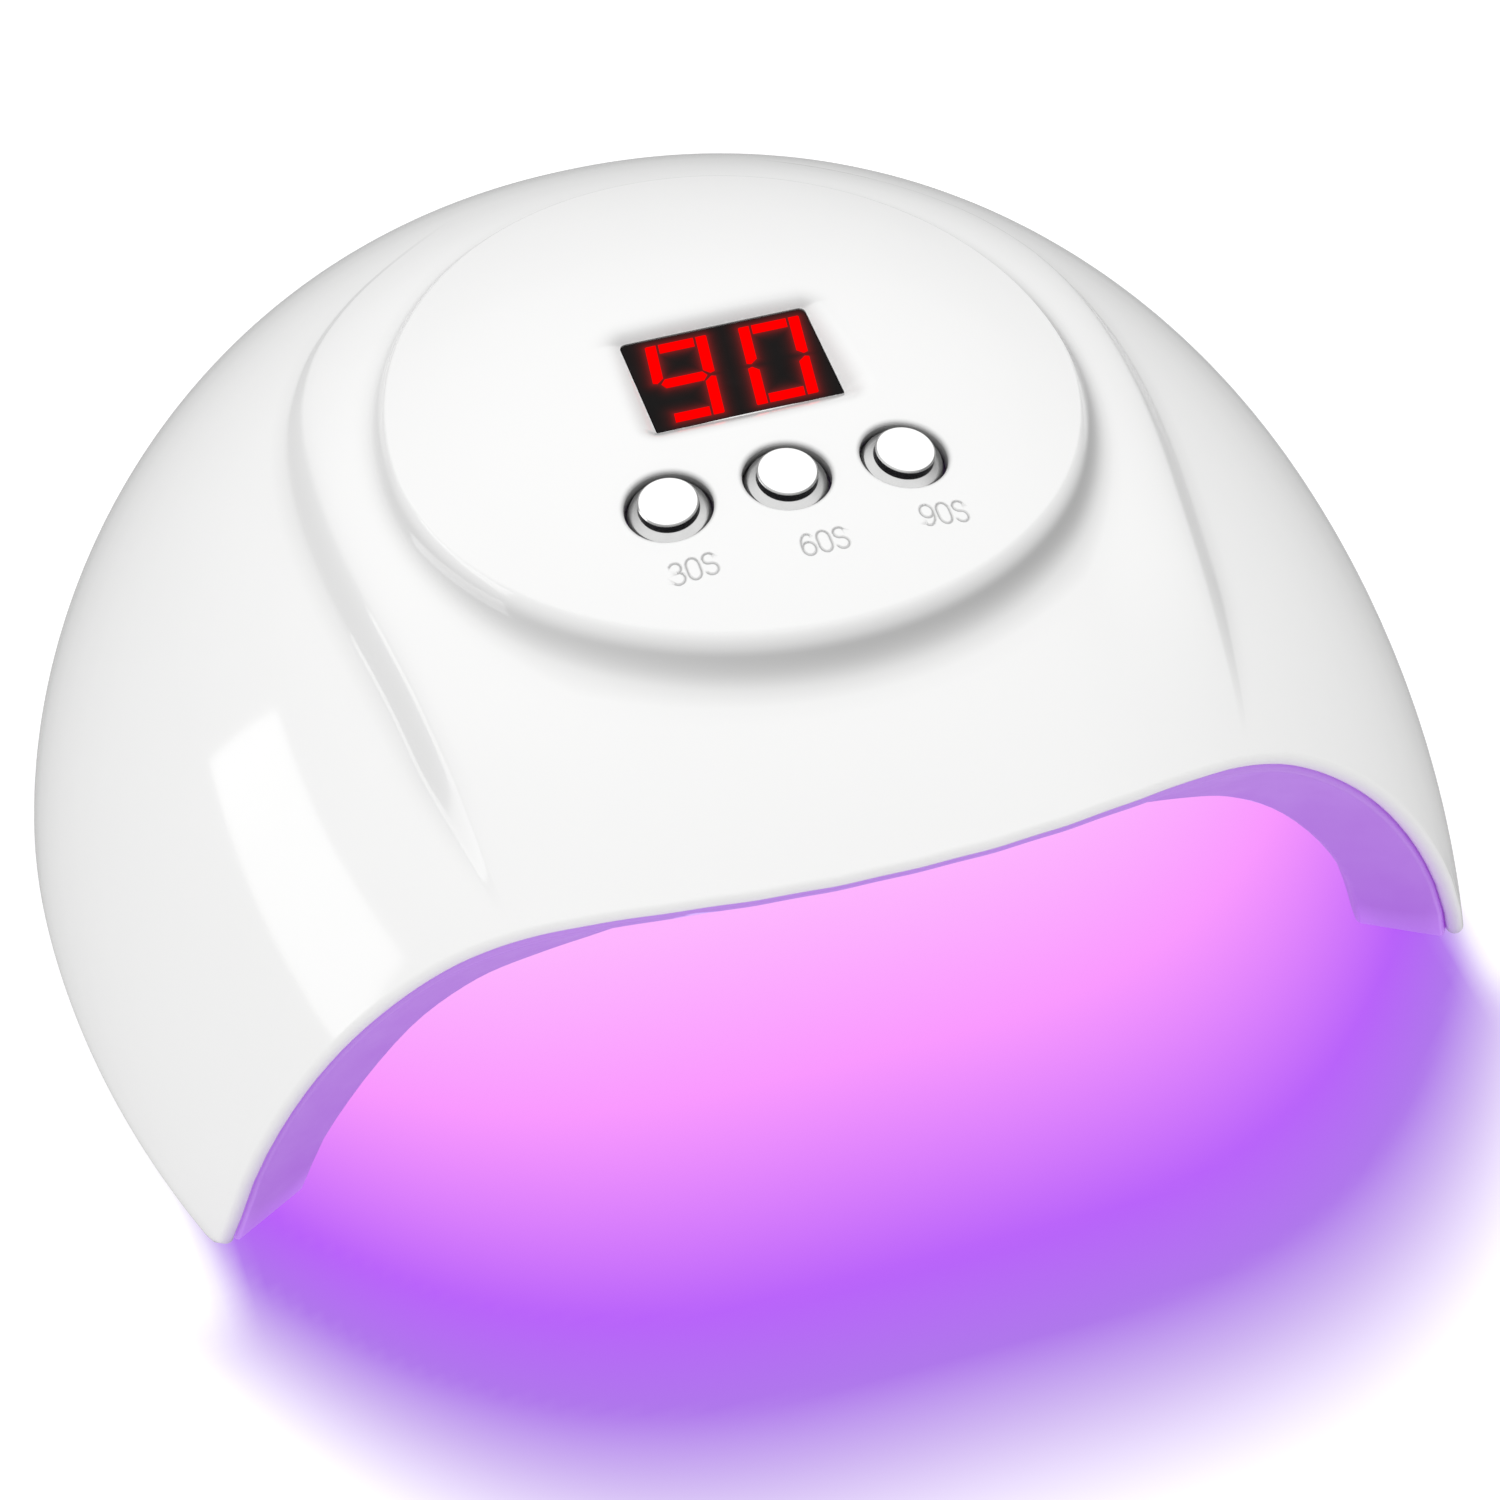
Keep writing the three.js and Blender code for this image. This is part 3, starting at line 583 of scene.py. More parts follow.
def panel_points(uv):
    """Plan position to the finished panel surface: well edges, display pocket and engraved strokes pressed in."""
    x, y = uv[:, 0], uv[:, 1]
    p = np.stack([x, y, dome_z(DOME, x, y) + relief(x, y)], -1)
    e = 0.05
    fx = (dome_z(DOME, x + e, y) + relief(x + e, y) - dome_z(DOME, x - e, y) - relief(x - e, y)) / (2 * e)
    fy = (dome_z(DOME, x, y + e) + relief(x, y + e) - dome_z(DOME, x, y - e) - relief(x, y - e)) / (2 * e)
    n = norm(np.stack([-fx, -fy, np.ones_like(fx)], -1))
    # numerals
    sd = stroke_distance(uv)
    g = GROOVE_D * (1 - smooth((sd - 0.05) / GROOVE_W))
    p = p - n * g[:, None]
    # wells
    for b in BUTTONS:
        v = p - b["top"]
        h = v @ b["n"]
        d = np.linalg.norm(v - h[:, None] * b["n"], axis=-1)
        r = WELL_FILLET
        t = np.clip((WELL_R + r - d) / r, 0, 1)
        g = r * (1 - np.sqrt(np.maximum(1 - t * t, 0)))
        p = p - b["n"] * g[:, None]
    # display pocket
    v = p - DECK_O
    u, w, h = v @ DECK_X, v @ DECK_Y, v @ DECK_N
    d = rect_distance(u, w, WIN_W + 2 * WIN_GAP, WIN_H + 2 * WIN_GAP, POCKET_R_TOP, POCKET_R_BOT)
    lin = 0.12 + np.maximum(d, 0) * 0.80
    k = 1.15
    near = d < 8
    hh = np.clip(0.5 + 0.5 * (h - lin) / k, 0, 1)
    hs = h * (1 - hh) + lin * hh - k * hh * (1 - hh)
    new_h = np.where(near, np.minimum(hs, h), h)
    p = p + (new_h - h)[:, None] * DECK_N
    return p


def map_normals(fn, uv, e=0.015):
    du = (fn(uv + [e, 0]) - fn(uv - [e, 0]))
    dv = (fn(uv + [0, e]) - fn(uv - [0, e]))
    return norm(np.cross(du, dv))


def circle_uv(b, r, n):
    """Plan positions whose panel point lies at radius r from a button's axis (before the well edge is pressed in)."""
    a = 2 * math.pi * np.arange(n) / n
    dirs = np.cos(a)[:, None] * b["x"] + np.sin(a)[:, None] * b["y"]
    p = ray_on(F_OUT, b["top"] + r * dirs, b["n"])
    return p[:, :2]


well_loops = [circle_uv(b, WELL_R, 96) for b in BUTTONS]
win_local = rounded_rect(WIN_W + 2 * WIN_GAP, WIN_H + 2 * WIN_GAP, POCKET_R_TOP, POCKET_R_BOT, 0.0, 0.35)
win_loop3 = on_deck(np.concatenate([win_local, np.full((len(win_local), 1), 0.12)], 1))
# plan position of the window edge: the pocket moves points along the deck normal, so start from the untouched surface
def deck_uv(local):
    p = on_deck(np.concatenate([local, np.zeros((len(local), 1))], 1))
    return ray_on(F_OUT, p, np.broadcast_to(DECK_N, p.shape))[:, :2]


win_uv = deck_uv(win_local)
feature = []
for b in BUTTONS:
    for r in (5.58, 5.65, 5.75, 5.88, 6.02, 6.14, 6.24, 6.4, 6.7, 7.2):
        feature.append(circle_uv(b, r, 96 if r < 6.6 else 64))
for off in (0.12, 0.35, 0.65, 1.0, 1.35, 1.7, 2.05, 2.4, 2.75, 3.1, 3.5, 4.0, 4.6):
    feature.append(deck_uv(rounded_rect(WIN_W + 2 * WIN_GAP, WIN_H + 2 * WIN_GAP, POCKET_R_TOP, POCKET_R_BOT, off, 0.42)))
strokes = []
for s in STROKES:
    for a, b in zip(s[:-1], s[1:]):
        L = np.linalg.norm(b - a)
        n = max(1, int(round(L / 0.13)))
        t = (b - a) / max(L, 1e-9)
        side = np.array([-t[1], t[0]])
        for i in range(n):
            c = a + (b - a) * (i + 0.5) / n
            for o in (0.0, 0.08, -0.08, 0.17, -0.17, 0.27, -0.27, 0.38, -0.38):
                strokes.append(c + side * o)
strokes = np.array(strokes)
feature_pts = np.concatenate([thin_points(np.concatenate(feature), np.concatenate(well_loops + [win_uv]), 0.05), thin_points(strokes, [], 0.075)])
loop_top_uv = PV[loop_top][:, :2]
gx, gy = np.meshgrid(np.arange(PANEL[0], PANEL[1], 0.9), np.arange(PANEL[2], PANEL[3], 0.9))
gx = gx + 0.45 * (np.arange(gx.shape[0]) % 2)[:, None]
uni = np.stack([gx.ravel(), gy.ravel()], 1)
kd = KDTree(len(feature_pts) + len(loop_top_uv) + sum(map(len, well_loops)) + len(win_uv))
for i, q in enumerate(np.concatenate([feature_pts, loop_top_uv] + well_loops + [win_uv])):
    kd.insert((q[0], q[1], 0), i)
kd.balance()
uni = np.array([q for q in uni if kd.find((q[0], q[1], 0))[2] > 0.5])
inner_pts = np.concatenate([feature_pts, uni])
inner_pts = inner_pts[inside_polygon(inner_pts, loop_top_uv)]
for h in well_loops + [win_uv]:
    inner_pts = inner_pts[~inside_polygon(inner_pts, h)]
tri = triangulate(loop_top_uv, well_loops + [win_uv], inner_pts)
new_uv = np.concatenate(well_loops + [win_uv, inner_pts])
new_p = panel_points(new_uv)
new_n = map_normals(panel_points, new_uv)
nw = len(well_loops[0])
wall_dir = []
for i, b in enumerate(BUTTONS):  # at the well's edge the surface has turned straight down
    s = slice(i * nw, (i + 1) * nw)
    v = new_p[s] - b["top"]
    h = v @ b["n"]
    rad = norm(v - h[:, None] * b["n"])
    new_n[s] = -rad
    new_p[s] = b["top"] + WELL_R * rad + h[:, None] * b["n"]
    wall_dir.append(rad)
new_ids = shell.verts(new_p)
gid = np.concatenate([loop_top, new_ids])
gn = np.concatenate([NV[loop_top], new_n])
tri_uv = np.concatenate([loop_top_uv] + [new_uv])[tri].mean(1)
# the numerals' groove faces take the darker grey material, a painted shade inside the grooves
cutmark = stroke_distance(tri_uv) < 0.105
shell.faces(gid[tri[~cutmark]], gn[tri[~cutmark]])
shell.faces(gid[tri[cutmark]], gn[tri[cutmark]], 1)
well_ids = [new_ids[i * nw:(i + 1) * nw] for i in range(3)]
win_ids = new_ids[3 * nw:3 * nw + len(win_uv)]


# rear wall: domain (u = -x, v = z), looked at from behind
def rear_points(uv):
    p = np.stack([-uv[:, 0], np.full(len(uv), 92.0), uv[:, 1]], -1)
    n = np.broadcast_to(np.array([0.0, 1.0, 0.0]), p.shape)
    p = ray_on(F_OUT, p, n, 16)
    dmin = rear_distance(uv)
    g = 0.45 * (1 - np.sqrt(np.maximum(1 - np.clip((0.45 - dmin) / 0.45, 0, 1) ** 2, 0)))
    return p - n * g[:, None]


def slot_loop(cx, z0, z1, w, off, n=8):
    r = w / 2 + off
    out = []
    for a in np.linspace(0, math.pi, n + 1):
        out.append((cx + r * math.cos(a), z1 - w / 2 + r * math.sin(a)))
    for a in np.linspace(math.pi, 2 * math.pi, n + 1):
        out.append((cx + r * math.cos(a), z0 + w / 2 + r * math.sin(a)))
    out = np.array(out)
    res = []
    for a, b in zip(out, np.roll(out, -1, 0)):
        m = max(1, int(round(np.linalg.norm(b - a) / 0.9)))
        for i in range(m):
            res.append(a + (b - a) * i / m)
    return np.array(res)


SLOTS = [(k * 6.0, 27.0, 40.0, 2.2) for k in range(-3, 4)]
INLET_R = 4.3


def rear_distance(uv):
    d = np.hypot(uv[:, 0], uv[:, 1] - 14.0) - INLET_R
    for cx, z0, z1, w in SLOTS:
        zz = np.clip(uv[:, 1], z0 + w / 2, z1 - w / 2)
        d = np.minimum(d, np.hypot(uv[:, 0] - cx, uv[:, 1] - zz) - w / 2)
    return d


def circle2(cx, cy, r, n):
    a = 2 * math.pi * np.arange(n) / n
    return np.stack([cx + r * np.cos(a), cy + r * np.sin(a)], 1)


rear_holes = [slot_loop(*s, 0.0) for s in SLOTS] + [circle2(0, 14, INLET_R, 40)]
rear_feat = [slot_loop(*s, o) for s in SLOTS for o in (0.08, 0.2, 0.45, 1.0)] + [circle2(0, 14, INLET_R + o, 40) for o in (0.08, 0.2, 0.45, 1.2)]
loop_rear_uv = np.stack([-PV[loop_rear][:, 0], PV[loop_rear][:, 2]], 1)
rear_feat = thin_points(np.concatenate(rear_feat), np.concatenate(rear_holes + [loop_rear_uv]), 0.06)
gx, gy = np.meshgrid(np.arange(-24, 24, 1.5), np.arange(6, 45, 1.5))
uni = np.stack([gx.ravel(), gy.ravel()], 1)
kd = KDTree(len(rear_feat) + len(loop_rear_uv) + sum(map(len, rear_holes)))
for i, q in enumerate(np.concatenate([rear_feat, loop_rear_uv] + rear_holes)):
    kd.insert((q[0], q[1], 0), i)
kd.balance()
uni = np.array([q for q in uni if kd.find((q[0], q[1], 0))[2] > 0.75])
ipts = np.concatenate([rear_feat, uni])
ipts = ipts[inside_polygon(ipts, loop_rear_uv)]
for h in rear_holes:
    ipts = ipts[~inside_polygon(ipts, h)]
tri = triangulate(loop_rear_uv, rear_holes, ipts)
ruv = np.concatenate(rear_holes + [ipts])
rp = rear_points(ruv)
rn = map_normals(rear_points, ruv)
at = 0
rear_rad = []
for h in rear_holes:  # the edge has turned straight inwards
    c = h.mean(0)
    t = np.roll(h, -1, 0) - np.roll(h, 1, 0)
    inw = norm(np.stack([-t[:, 1], t[:, 0]], 1))
    rad = np.stack([-inw[:, 0], np.zeros(len(h)), inw[:, 1]], -1)
    rn[at:at + len(h)] = rad
    rear_rad.append(rad)
    at += len(h)
r_ids = shell.verts(rp)
gid = np.concatenate([loop_rear, r_ids])
gn = np.concatenate([NV[loop_rear], rn])
shell.faces(gid[tri], gn[tri])
rear_ids, at = [], 0
for h in rear_holes:
    rear_ids.append(r_ids[at:at + len(h)])
    at += len(h)

# rolled edge along the base and the lip, then the inner surface
Pb, Nb = P_out[-1], N_out[-1]
Tb = norm(np.roll(Pb, -1, 0) - np.roll(Pb, 1, 0))
Ob = norm(np.cross(Tb, Nb))
Ob *= np.sign(((Pb - P_out[-3]) * Ob).sum(-1, keepdims=True))
roll_p, roll_n = [], []
for a in np.radians(np.linspace(0, 180, 13)):
    roll_p.append(Pb + ROLL * (Ob * math.sin(a) - (1 - math.cos(a)) * Nb))
    roll_n.append(Nb * math.cos(a) + Ob * math.sin(a))
roll_p, roll_n = np.array(roll_p), np.array(roll_n)
rid = shell.verts(roll_p[1:]).reshape(-1, NT)
rid = np.concatenate([ids[-1][None], rid])
shell.grid(rid, roll_n)
# inside: offset rings, coarser
js = [NR - 1, NR - 2, NR - 4, NR - 7, NR - 10, NR - 13, NR - 16, NR - 19, NR - 21, NR - 23, NR - 25, NR - 28, NR - 32, NR - 36, NR - 44, 60, 54, 50, 46, 42, 38, 35, 32, 29, 26, 23, 20, 17, 14, 11, 7, 3]
Pin = []
for j in js:
    q = shell_at(fs[:, j:j + 1])[:, 0]
    base = q.copy()
    base[:, 2] += relief_in(q[:, 0], q[:, 1]) - relief(q[:, 0], q[:, 1])
    nb_ = grad(implicit(DOME, relief_in), base)
    Pin.append(base - WALL * nb_)
Pin = np.array(Pin)
Pin[0] = roll_p[-1]
Nin = np.concatenate([-Nb[None], -grad(F_IN, Pin[1:])])
ap_in = shell.verts(np.array([[0, 0, apex[2] - WALL]]))[0]
iid = shell.verts(Pin[1:]).reshape(-1, NT)
iid = np.concatenate([rid[-1][None], iid])
PI = {int(i): q for i, q in zip(iid.ravel(), Pin.reshape(-1, 3))}
NI = {int(i): q for i, q in zip(iid.ravel(), Nin.reshape(-1, 3))}
PI[int(ap_in)] = np.array([0, 0, apex[2] - WALL])
NI[int(ap_in)] = np.array([0, 0, -1.0])
iq = np.stack([iid[:-1], iid[1:], np.roll(iid[1:], -1, 1), np.roll(iid[:-1], -1, 1)], -1).reshape(-1, 4)
it = np.stack([iid[-1], np.full(NT, ap_in), np.roll(iid[-1], -1)], -1)
top_id = max(PI) + 1
PA = np.zeros((top_id, 3))
NA = np.zeros((top_id, 3))
for i, q in PI.items():
    PA[i] = q
for i, q in NI.items():
    NA[i] = q
m = (np.abs(PA[:, 0]) < 24.5) & (PA[:, 1] > -36.5) & (PA[:, 1] < 12.6) & (PA[:, 2] > 60)
it, iq, gone = cut(m, it, iq)
lt = boundary_loop(gone)
m = (np.abs(PA[:, 0]) < 24.5) & (PA[:, 1] > 40) & (PA[:, 2] > 5.0) & (PA[:, 2] < 47)
it, iq, gone = cut(m, it, iq)
lr = boundary_loop(gone)
shell.faces(it, NA[it])
shell.faces(iq, NA[iq])


def side_wall(upper, lower_p, nrm, steps):
    """Wall between a hole's edge and its inner edge. Returns the inner edge's ids."""
    up = shell.pos()[upper]
    rows = [upper]
    for k in range(1, steps + 1):
        rows.append(shell.verts(up + (lower_p - up) * k / steps))
    rows = np.array(rows)
    shell.grid(rows, np.repeat(nrm[None], steps + 1, 0), flip=True)
    return rows[-1]


def inner_patch(loop_ids, to2, holes_ids, flip):
    pos = shell.pos()
    loop2 = to2(PA[loop_ids])
    holes2 = [to2(pos[h]) for h in holes_ids]
    if flip:
        pass
    tri = triangulate(loop2[::-1], [h for h in holes2], np.zeros((0, 2)))
    g = np.concatenate([loop_ids[::-1]] + list(holes_ids))
    t = g[tri][:, ::-1]
    shell.faces(t, None)


low_wells = []
for b, w_ids, rad in zip(BUTTONS, well_ids, wall_dir):
    up = shell.pos()[w_ids]
    p = ray_on(F_IN, up - 2.0 * b["n"], np.broadcast_to(b["n"], up.shape))
    low_wells.append(side_wall(w_ids, p, -rad, 6))
up = shell.pos()[win_ids]
dl = ray_on(F_IN, up - 1.5 * DECK_N, np.broadcast_to(DECK_N, up.shape))
c2 = win_local - 0
tt = np.roll(c2, -1, 0) - np.roll(c2, 1, 0)
inw = norm(np.stack([-tt[:, 1], tt[:, 0]], 1))
wn = inw[:, :1] * DECK_X + inw[:, 1:] * DECK_Y
low_win = side_wall(win_ids, dl, wn, 2)
inner_patch(lt, lambda p: p[:, :2], low_wells + [low_win], False)
low_rear = []
for hid, rad in zip(rear_ids, rear_rad):
    up = shell.pos()[hid]
    n = np.broadcast_to(np.array([0.0, 1.0, 0.0]), up.shape)
    low_rear.append(side_wall(hid, ray_on(F_IN, up - 2.2 * n, n), rad, 2))
inner_patch(lr, lambda p: np.stack([-p[:, 0], p[:, 2]], 1), low_rear, False)

# ------------------------------------------------------------------ liner: cavity, soft mouth edge and flange
ARCH = [(0, -55.8), (28, -55.5), (36, -55), (42.9, -54), (48.8, -52.8), (57.2, -52), (63, -52), (68, -51.5), (70.8, -50.5), (73.5, -49.5), (90, -49.5)]
ARCH_T = smoothed_table(ARCH + [(-a, b) for a, b in ARCH[1:]], 1.5, -88, 88)


def arch_y(x):
    return np.interp(x, *ARCH_T)


def foot_z(y):
    return BASE_Z + 1.8 * smooth((y + 48) / 5)


LF = 1.4  # mouth edge radius
LT = 2.0


def liner_edge(x, y, z):
    return rounded_edge(y - (arch_y(x) + 0.35), z - (foot_z(y) + 0.8 * LF), 1.6)


NL = 360
thl, fl, Tl, al, liner_at, egl = polar_table(CAVITY, None, liner_edge, NL)
sEl = first_crossing(egl, al, al[:, -1])
Sl = np.concatenate([spread(np.zeros(NL), sEl * 0.93, 34), spread(sEl * 0.93, sEl, 6)], 1)
fsl = np.stack([np.interp(Sl[i], al[i], fl[i]) for i in range(NL)])
Pl = liner_at(fsl).transpose(1, 0, 2)
Fc = implicit(CAVITY, None)
Nl = -grad(Fc, Pl)  # towards the air
Pe, Ne = Pl[-1], Nl[-1]
Te = norm(np.roll(Pe, -1, 0) - np.roll(Pe, 1, 0))
Oe = norm(np.cross(Te, Ne))
Oe *= np.sign(((Pe - Pl[-3]) * Oe).sum(-1, keepdims=True))
rings, nrms = [p for p in Pl], [n for n in Nl]
# outer loop of the flange, just inside the shell, paired with the inner loop by the fraction along each loop between
# the front foot corners
INNER = shrink(DOME, WALL + GAP)


def flange_edge(x, y, z):
    return rounded_edge(y - (lip_y(x) + 1.3), z - (foot_z(y) + 0.0), 2.6)


tho, fo, To, ao, out_at, ego = polar_table(INNER, None, flange_edge, 1440)
sEo = first_crossing(ego, ao, ao[:, -1])
Po = np.stack([[np.interp(sEo[i], ao[i], To[i, :, k]) for k in range(3)] for i in range(1440)])


def loop_fraction(P):
    """0..1 along a closed loop, measured piecewise between the two front foot corners."""
    i_r = np.argmin((P[:, 2] * 1.2 + P[:, 1] * 1.0) + np.where(P[:, 0] > 0, 0, 1e3))
    i_l = np.argmin((P[:, 2] * 1.2 + P[:, 1] * 1.0) + np.where(P[:, 0] < 0, 0, 1e3))
    n = len(P)
    L = np.linalg.norm(np.roll(P, -1, 0) - P, axis=1)
    out = np.zeros(n)

    def part(i0, i1, a0, a1):
        idx = [i0]
        while idx[-1] != i1:
            idx.append((idx[-1] + 1) % n)
        c = np.concatenate([[0], np.cumsum(L[idx[:-1]])])
        for j, cc in zip(idx, c / c[-1]):
            out[j] = a0 + (a1 - a0) * cc

    part(i_l, i_r, 0.0, 0.5)  # over the arch
    save = out.copy()
    part(i_r, i_l, 0.5, 1.0)
    out[i_l] = 0.0
    return out


fe, fo_ = loop_fraction(Pe), loop_fraction(Po)
order = np.argsort(fo_)
fo_s = np.concatenate([fo_[order], [1.0]])
Po_s = np.concatenate([Po[order], Po[order][:1]])
Pout = np.stack([np.interp(fe, fo_s, Po_s[:, k]) for k in range(3)], 1)
# flange normal: across the ruled line and along the loop
dirf = norm(Pout - Pe)
Nf = norm(np.cross(Te, dirf))
Nf *= np.sign((Nf * Oe).sum(-1, keepdims=True))
Pc = Pe - Ne * LF
ang = np.arccos(np.clip((Ne * Nf).sum(-1), -1, 1))
for k in range(1, 9):
    t = k / 8
    a = ang * t
    n = norm((np.sin(ang - a)[:, None] * Ne + np.sin(a)[:, None] * Nf) / np.maximum(np.sin(ang), 1e-3)[:, None])
    rings.append(Pc + LF * n)
    nrms.append(n)
Pf0 = rings[-1]
rim_r = 0.5
Pf1 = Pout - dirf * rim_r
for k in range(1, 7):
    rings.append(Pf0 + (Pf1 - Pf0) * k / 6)
    nrms.append(Nf)
for k in range(1, 5):
    a = math.pi / 2 * k / 4
    n = Nf * math.cos(a) + dirf * math.sin(a)
    rings.append(Pf1 - Nf * rim_r + rim_r * n)
    nrms.append(n)
front_rings, front_n = np.array(rings), np.array(nrms)
liner = Body()
lap = liner.verts(np.array([[0, CAVITY["y0"], CAVITY["H"]]]))[0]
lid = liner.verts(front_rings).reshape(len(front_rings), NL)
liner.grid(lid, front_n, flip=True)
liner.faces(np.stack([np.full(NL, lap), np.roll(lid[0], -1), lid[0]], -1), np.tile([0, 0, -1.0], (NL, 3, 1)))
# back side
bk = [front_rings[-1] - Nf * (LT - rim_r), Pf1 - Nf * LT, Pf0 + (Pf1 - Pf0) * 0.5 - Nf * LT]
corner = Pc + 0.15 * norm(Ne + Nf)
bk += [corner]
for j in range(len(Pl) - 2, -1, -3):
    bk.append(Pl[j] - Nl[j] * LT)
bk = np.array(bk)
bid_ = liner.verts(bk).reshape(len(bk), NL)
full = np.concatenate([lid[-1][None], bid_])
a, b = full[:-1], full[1:]
q = np.stack([a, np.roll(a, -1, 1), np.roll(b, -1, 1), b], -1).reshape(-1, 4)
liner.faces(q, None)
bap = liner.verts(np.array([[0, CAVITY["y0"], CAVITY["H"] + LT]]))[0]
liner.faces(np.stack([np.full(NL, bap), bid_[-1], np.roll(bid_[-1], -1)], -1), None)


# ------------------------------------------------------------------ lathes and boxes
def frame_of(n):
    n = norm(np.asarray(n, float))
    x = norm(np.cross([0, 1.0, 0], n)) if abs(n[1]) < 0.9 else norm(np.cross([1.0, 0, 0], n))
    return x, np.cross(n, x), n


def round_profile(pts, r, steps=5):
    """Rounds each inner corner of a polyline of (r, z) points."""
    pts = [np.array(p, float) for p in pts]
    out = [pts[0]]
    for i in range(1, len(pts) - 1):
        a, b, c = pts[i - 1], pts[i], pts[i + 1]
        rr = r[i] if isinstance(r, (list, tuple)) else r
        u, v = norm(a - b), norm(c - b)
        cosang = float(np.clip(u @ v, -1, 1))
        half = math.acos(cosang) / 2
        if rr <= 0 or half > 1.5:
            out.append(b)
            continue
        t = min(rr / math.tan(half), 0.45 * np.linalg.norm(a - b), 0.45 * np.linalg.norm(c - b))
        rr = t * math.tan(half)
        ctr = b + norm(u + v) * rr / math.sin(half)
        p0, p1 = b + u * t, b + v * t
        a0, a1 = math.atan2(*(p0 - ctr)[::-1]), math.atan2(*(p1 - ctr)[::-1])
        d = (a1 - a0 + math.pi) % (2 * math.pi) - math.pi
        for k in range(steps + 1):
            an = a0 + d * k / steps
            out.append(ctr + rr * np.array([math.cos(an), math.sin(an)]))
    out.append(pts[-1])
    return np.array(out)


def lathe(body, prof, o, n, mats=None, seg=96):
    """Turned solid about n through o; prof runs from the bottom axis point to the top axis point, (r, z)."""
    x, y, n = frame_of(n)
    o = np.asarray(o, float)
    a = 2 * math.pi * np.arange(seg) / seg
    ca, sa = np.cos(a)[:, None], np.sin(a)[:, None]
    rad = ca * x + sa * y
    rows, at = [], []
    for r, z in prof:
        if r < 1e-6:
            rows.append(body.verts((o + z * n)[None]))
        else:
            rows.append(body.verts(o + z * n + r * rad))
        at.append((r, z))
    at = np.array(at)
    d = np.diff(at, axis=0)
    fnm = norm(np.stack([d[:, 1], -d[:, 0]], 1))  # outward for a profile that runs upwards on the outside
    for i in range(len(rows) - 1):
        m = 0 if mats is None else mats(at[i], at[i + 1])

        def corner_n(j, here):
            # blend with the neighbouring span when they meet at a shallow angle
            v = fnm[here]
            other = here - 1 if j == here else here + 1
            if 0 <= other < len(fnm) and (fnm[other] @ v) > 0.8:
                v = norm(v + fnm[other])
            return v

        n0, n1 = corner_n(i, i), corner_n(i + 1, i)
        N0, N1 = n0[0] * rad + n0[1] * n, n1[0] * rad + n1[1] * n
        A, B = rows[i], rows[i + 1]
        if len(A) == 1 and len(B) == 1:
            continue
        if len(A) == 1:
            f = np.stack([np.full(seg, A[0]), np.roll(B, -1), B], -1)
            nn = np.stack([np.tile(n0[1] * n, (seg, 1)), np.roll(N1, -1, 0), N1], 1)
        elif len(B) == 1:
            f = np.stack([A, np.roll(A, -1), np.full(seg, B[0])], -1)
            nn = np.stack([N0, np.roll(N0, -1, 0), np.tile(n1[1] * n, (seg, 1))], 1)
        else:
            f = np.stack([A, np.roll(A, -1), np.roll(B, -1), B], -1)
            nn = np.stack([N0, np.roll(N0, -1, 0), np.roll(N1, -1, 0), N1], 1)
        body.faces(f, nn, m)


def prism(body, outline, z0, z1, place, r=0.12, mat=0, top_mat=None):
    """Closed prism with a small bevel on its top edge; outline is counter-clockwise."""
    n = len(outline)
    t = np.roll(outline, -1, 0) - np.roll(outline, 1, 0)
    inw = norm(np.stack([-t[:, 1], t[:, 0]], 1))
    rows = []
    for off, z in ((0, z0), (0, z1 - r), (0.3 * r, z1 - 0.3 * r), (r, z1)):
        rows.append(body.verts(place(np.concatenate([outline + inw * off, np.full((n, 1), z)], 1))))
    for A, B in zip(rows[:-1], rows[1:]):
        body.faces(np.stack([A, np.roll(A, -1), np.roll(B, -1), B], -1), None, mat)
    for row, flip, m in ((rows[0], True, mat), (rows[-1], False, mat if top_mat is None else top_mat)):
        c = body.pos()[row].mean(0)
        ci = body.verts(c[None])[0]
        f = np.stack([np.full(n, ci), row, np.roll(row, -1)], -1)
        body.faces(f[:, ::-1] if flip else f, None, m)
    return rows


# ------------------------------------------------------------------ materials
def srgb(r, g, b):
    def f(c):
        c /= 255
        return c / 12.92 if c <= 0.04045 else ((c + 0.055) / 1.055) ** 2.4

    return f(r), f(g), f(b), 1.0


def new_mat(name):
    m = bpy.data.materials.new(name)
    m.use_nodes = True
    nt = m.node_tree
    nt.nodes.clear()
    out = nt.nodes.new("ShaderNodeOutputMaterial")
    bs = nt.nodes.new("ShaderNodeBsdfPrincipled")
    nt.links.new(bs.outputs[0], out.inputs[0])
    return m, nt, bs, out


def noise(nt, vec, scale, detail=4, rough=0.5):
    n = nt.nodes.new("ShaderNodeTexNoise")
    n.inputs["Scale"].default_value = scale
    n.inputs["Detail"].default_value = detail
    n.inputs["Roughness"].default_value = rough
    nt.links.new(vec, n.inputs["Vector"])
    return n.outputs["Fac"]


def ramp(nt, fac, a, b, ca=(0, 0, 0, 1), cb=(1, 1, 1, 1)):
    r = nt.nodes.new("ShaderNodeValToRGB")
    r.color_ramp.elements[0].position, r.color_ramp.elements[0].color = a, ca
    r.color_ramp.elements[1].position, r.color_ramp.elements[1].color = b, cb
    nt.links.new(fac, r.inputs[0])
    return r.outputs[0]


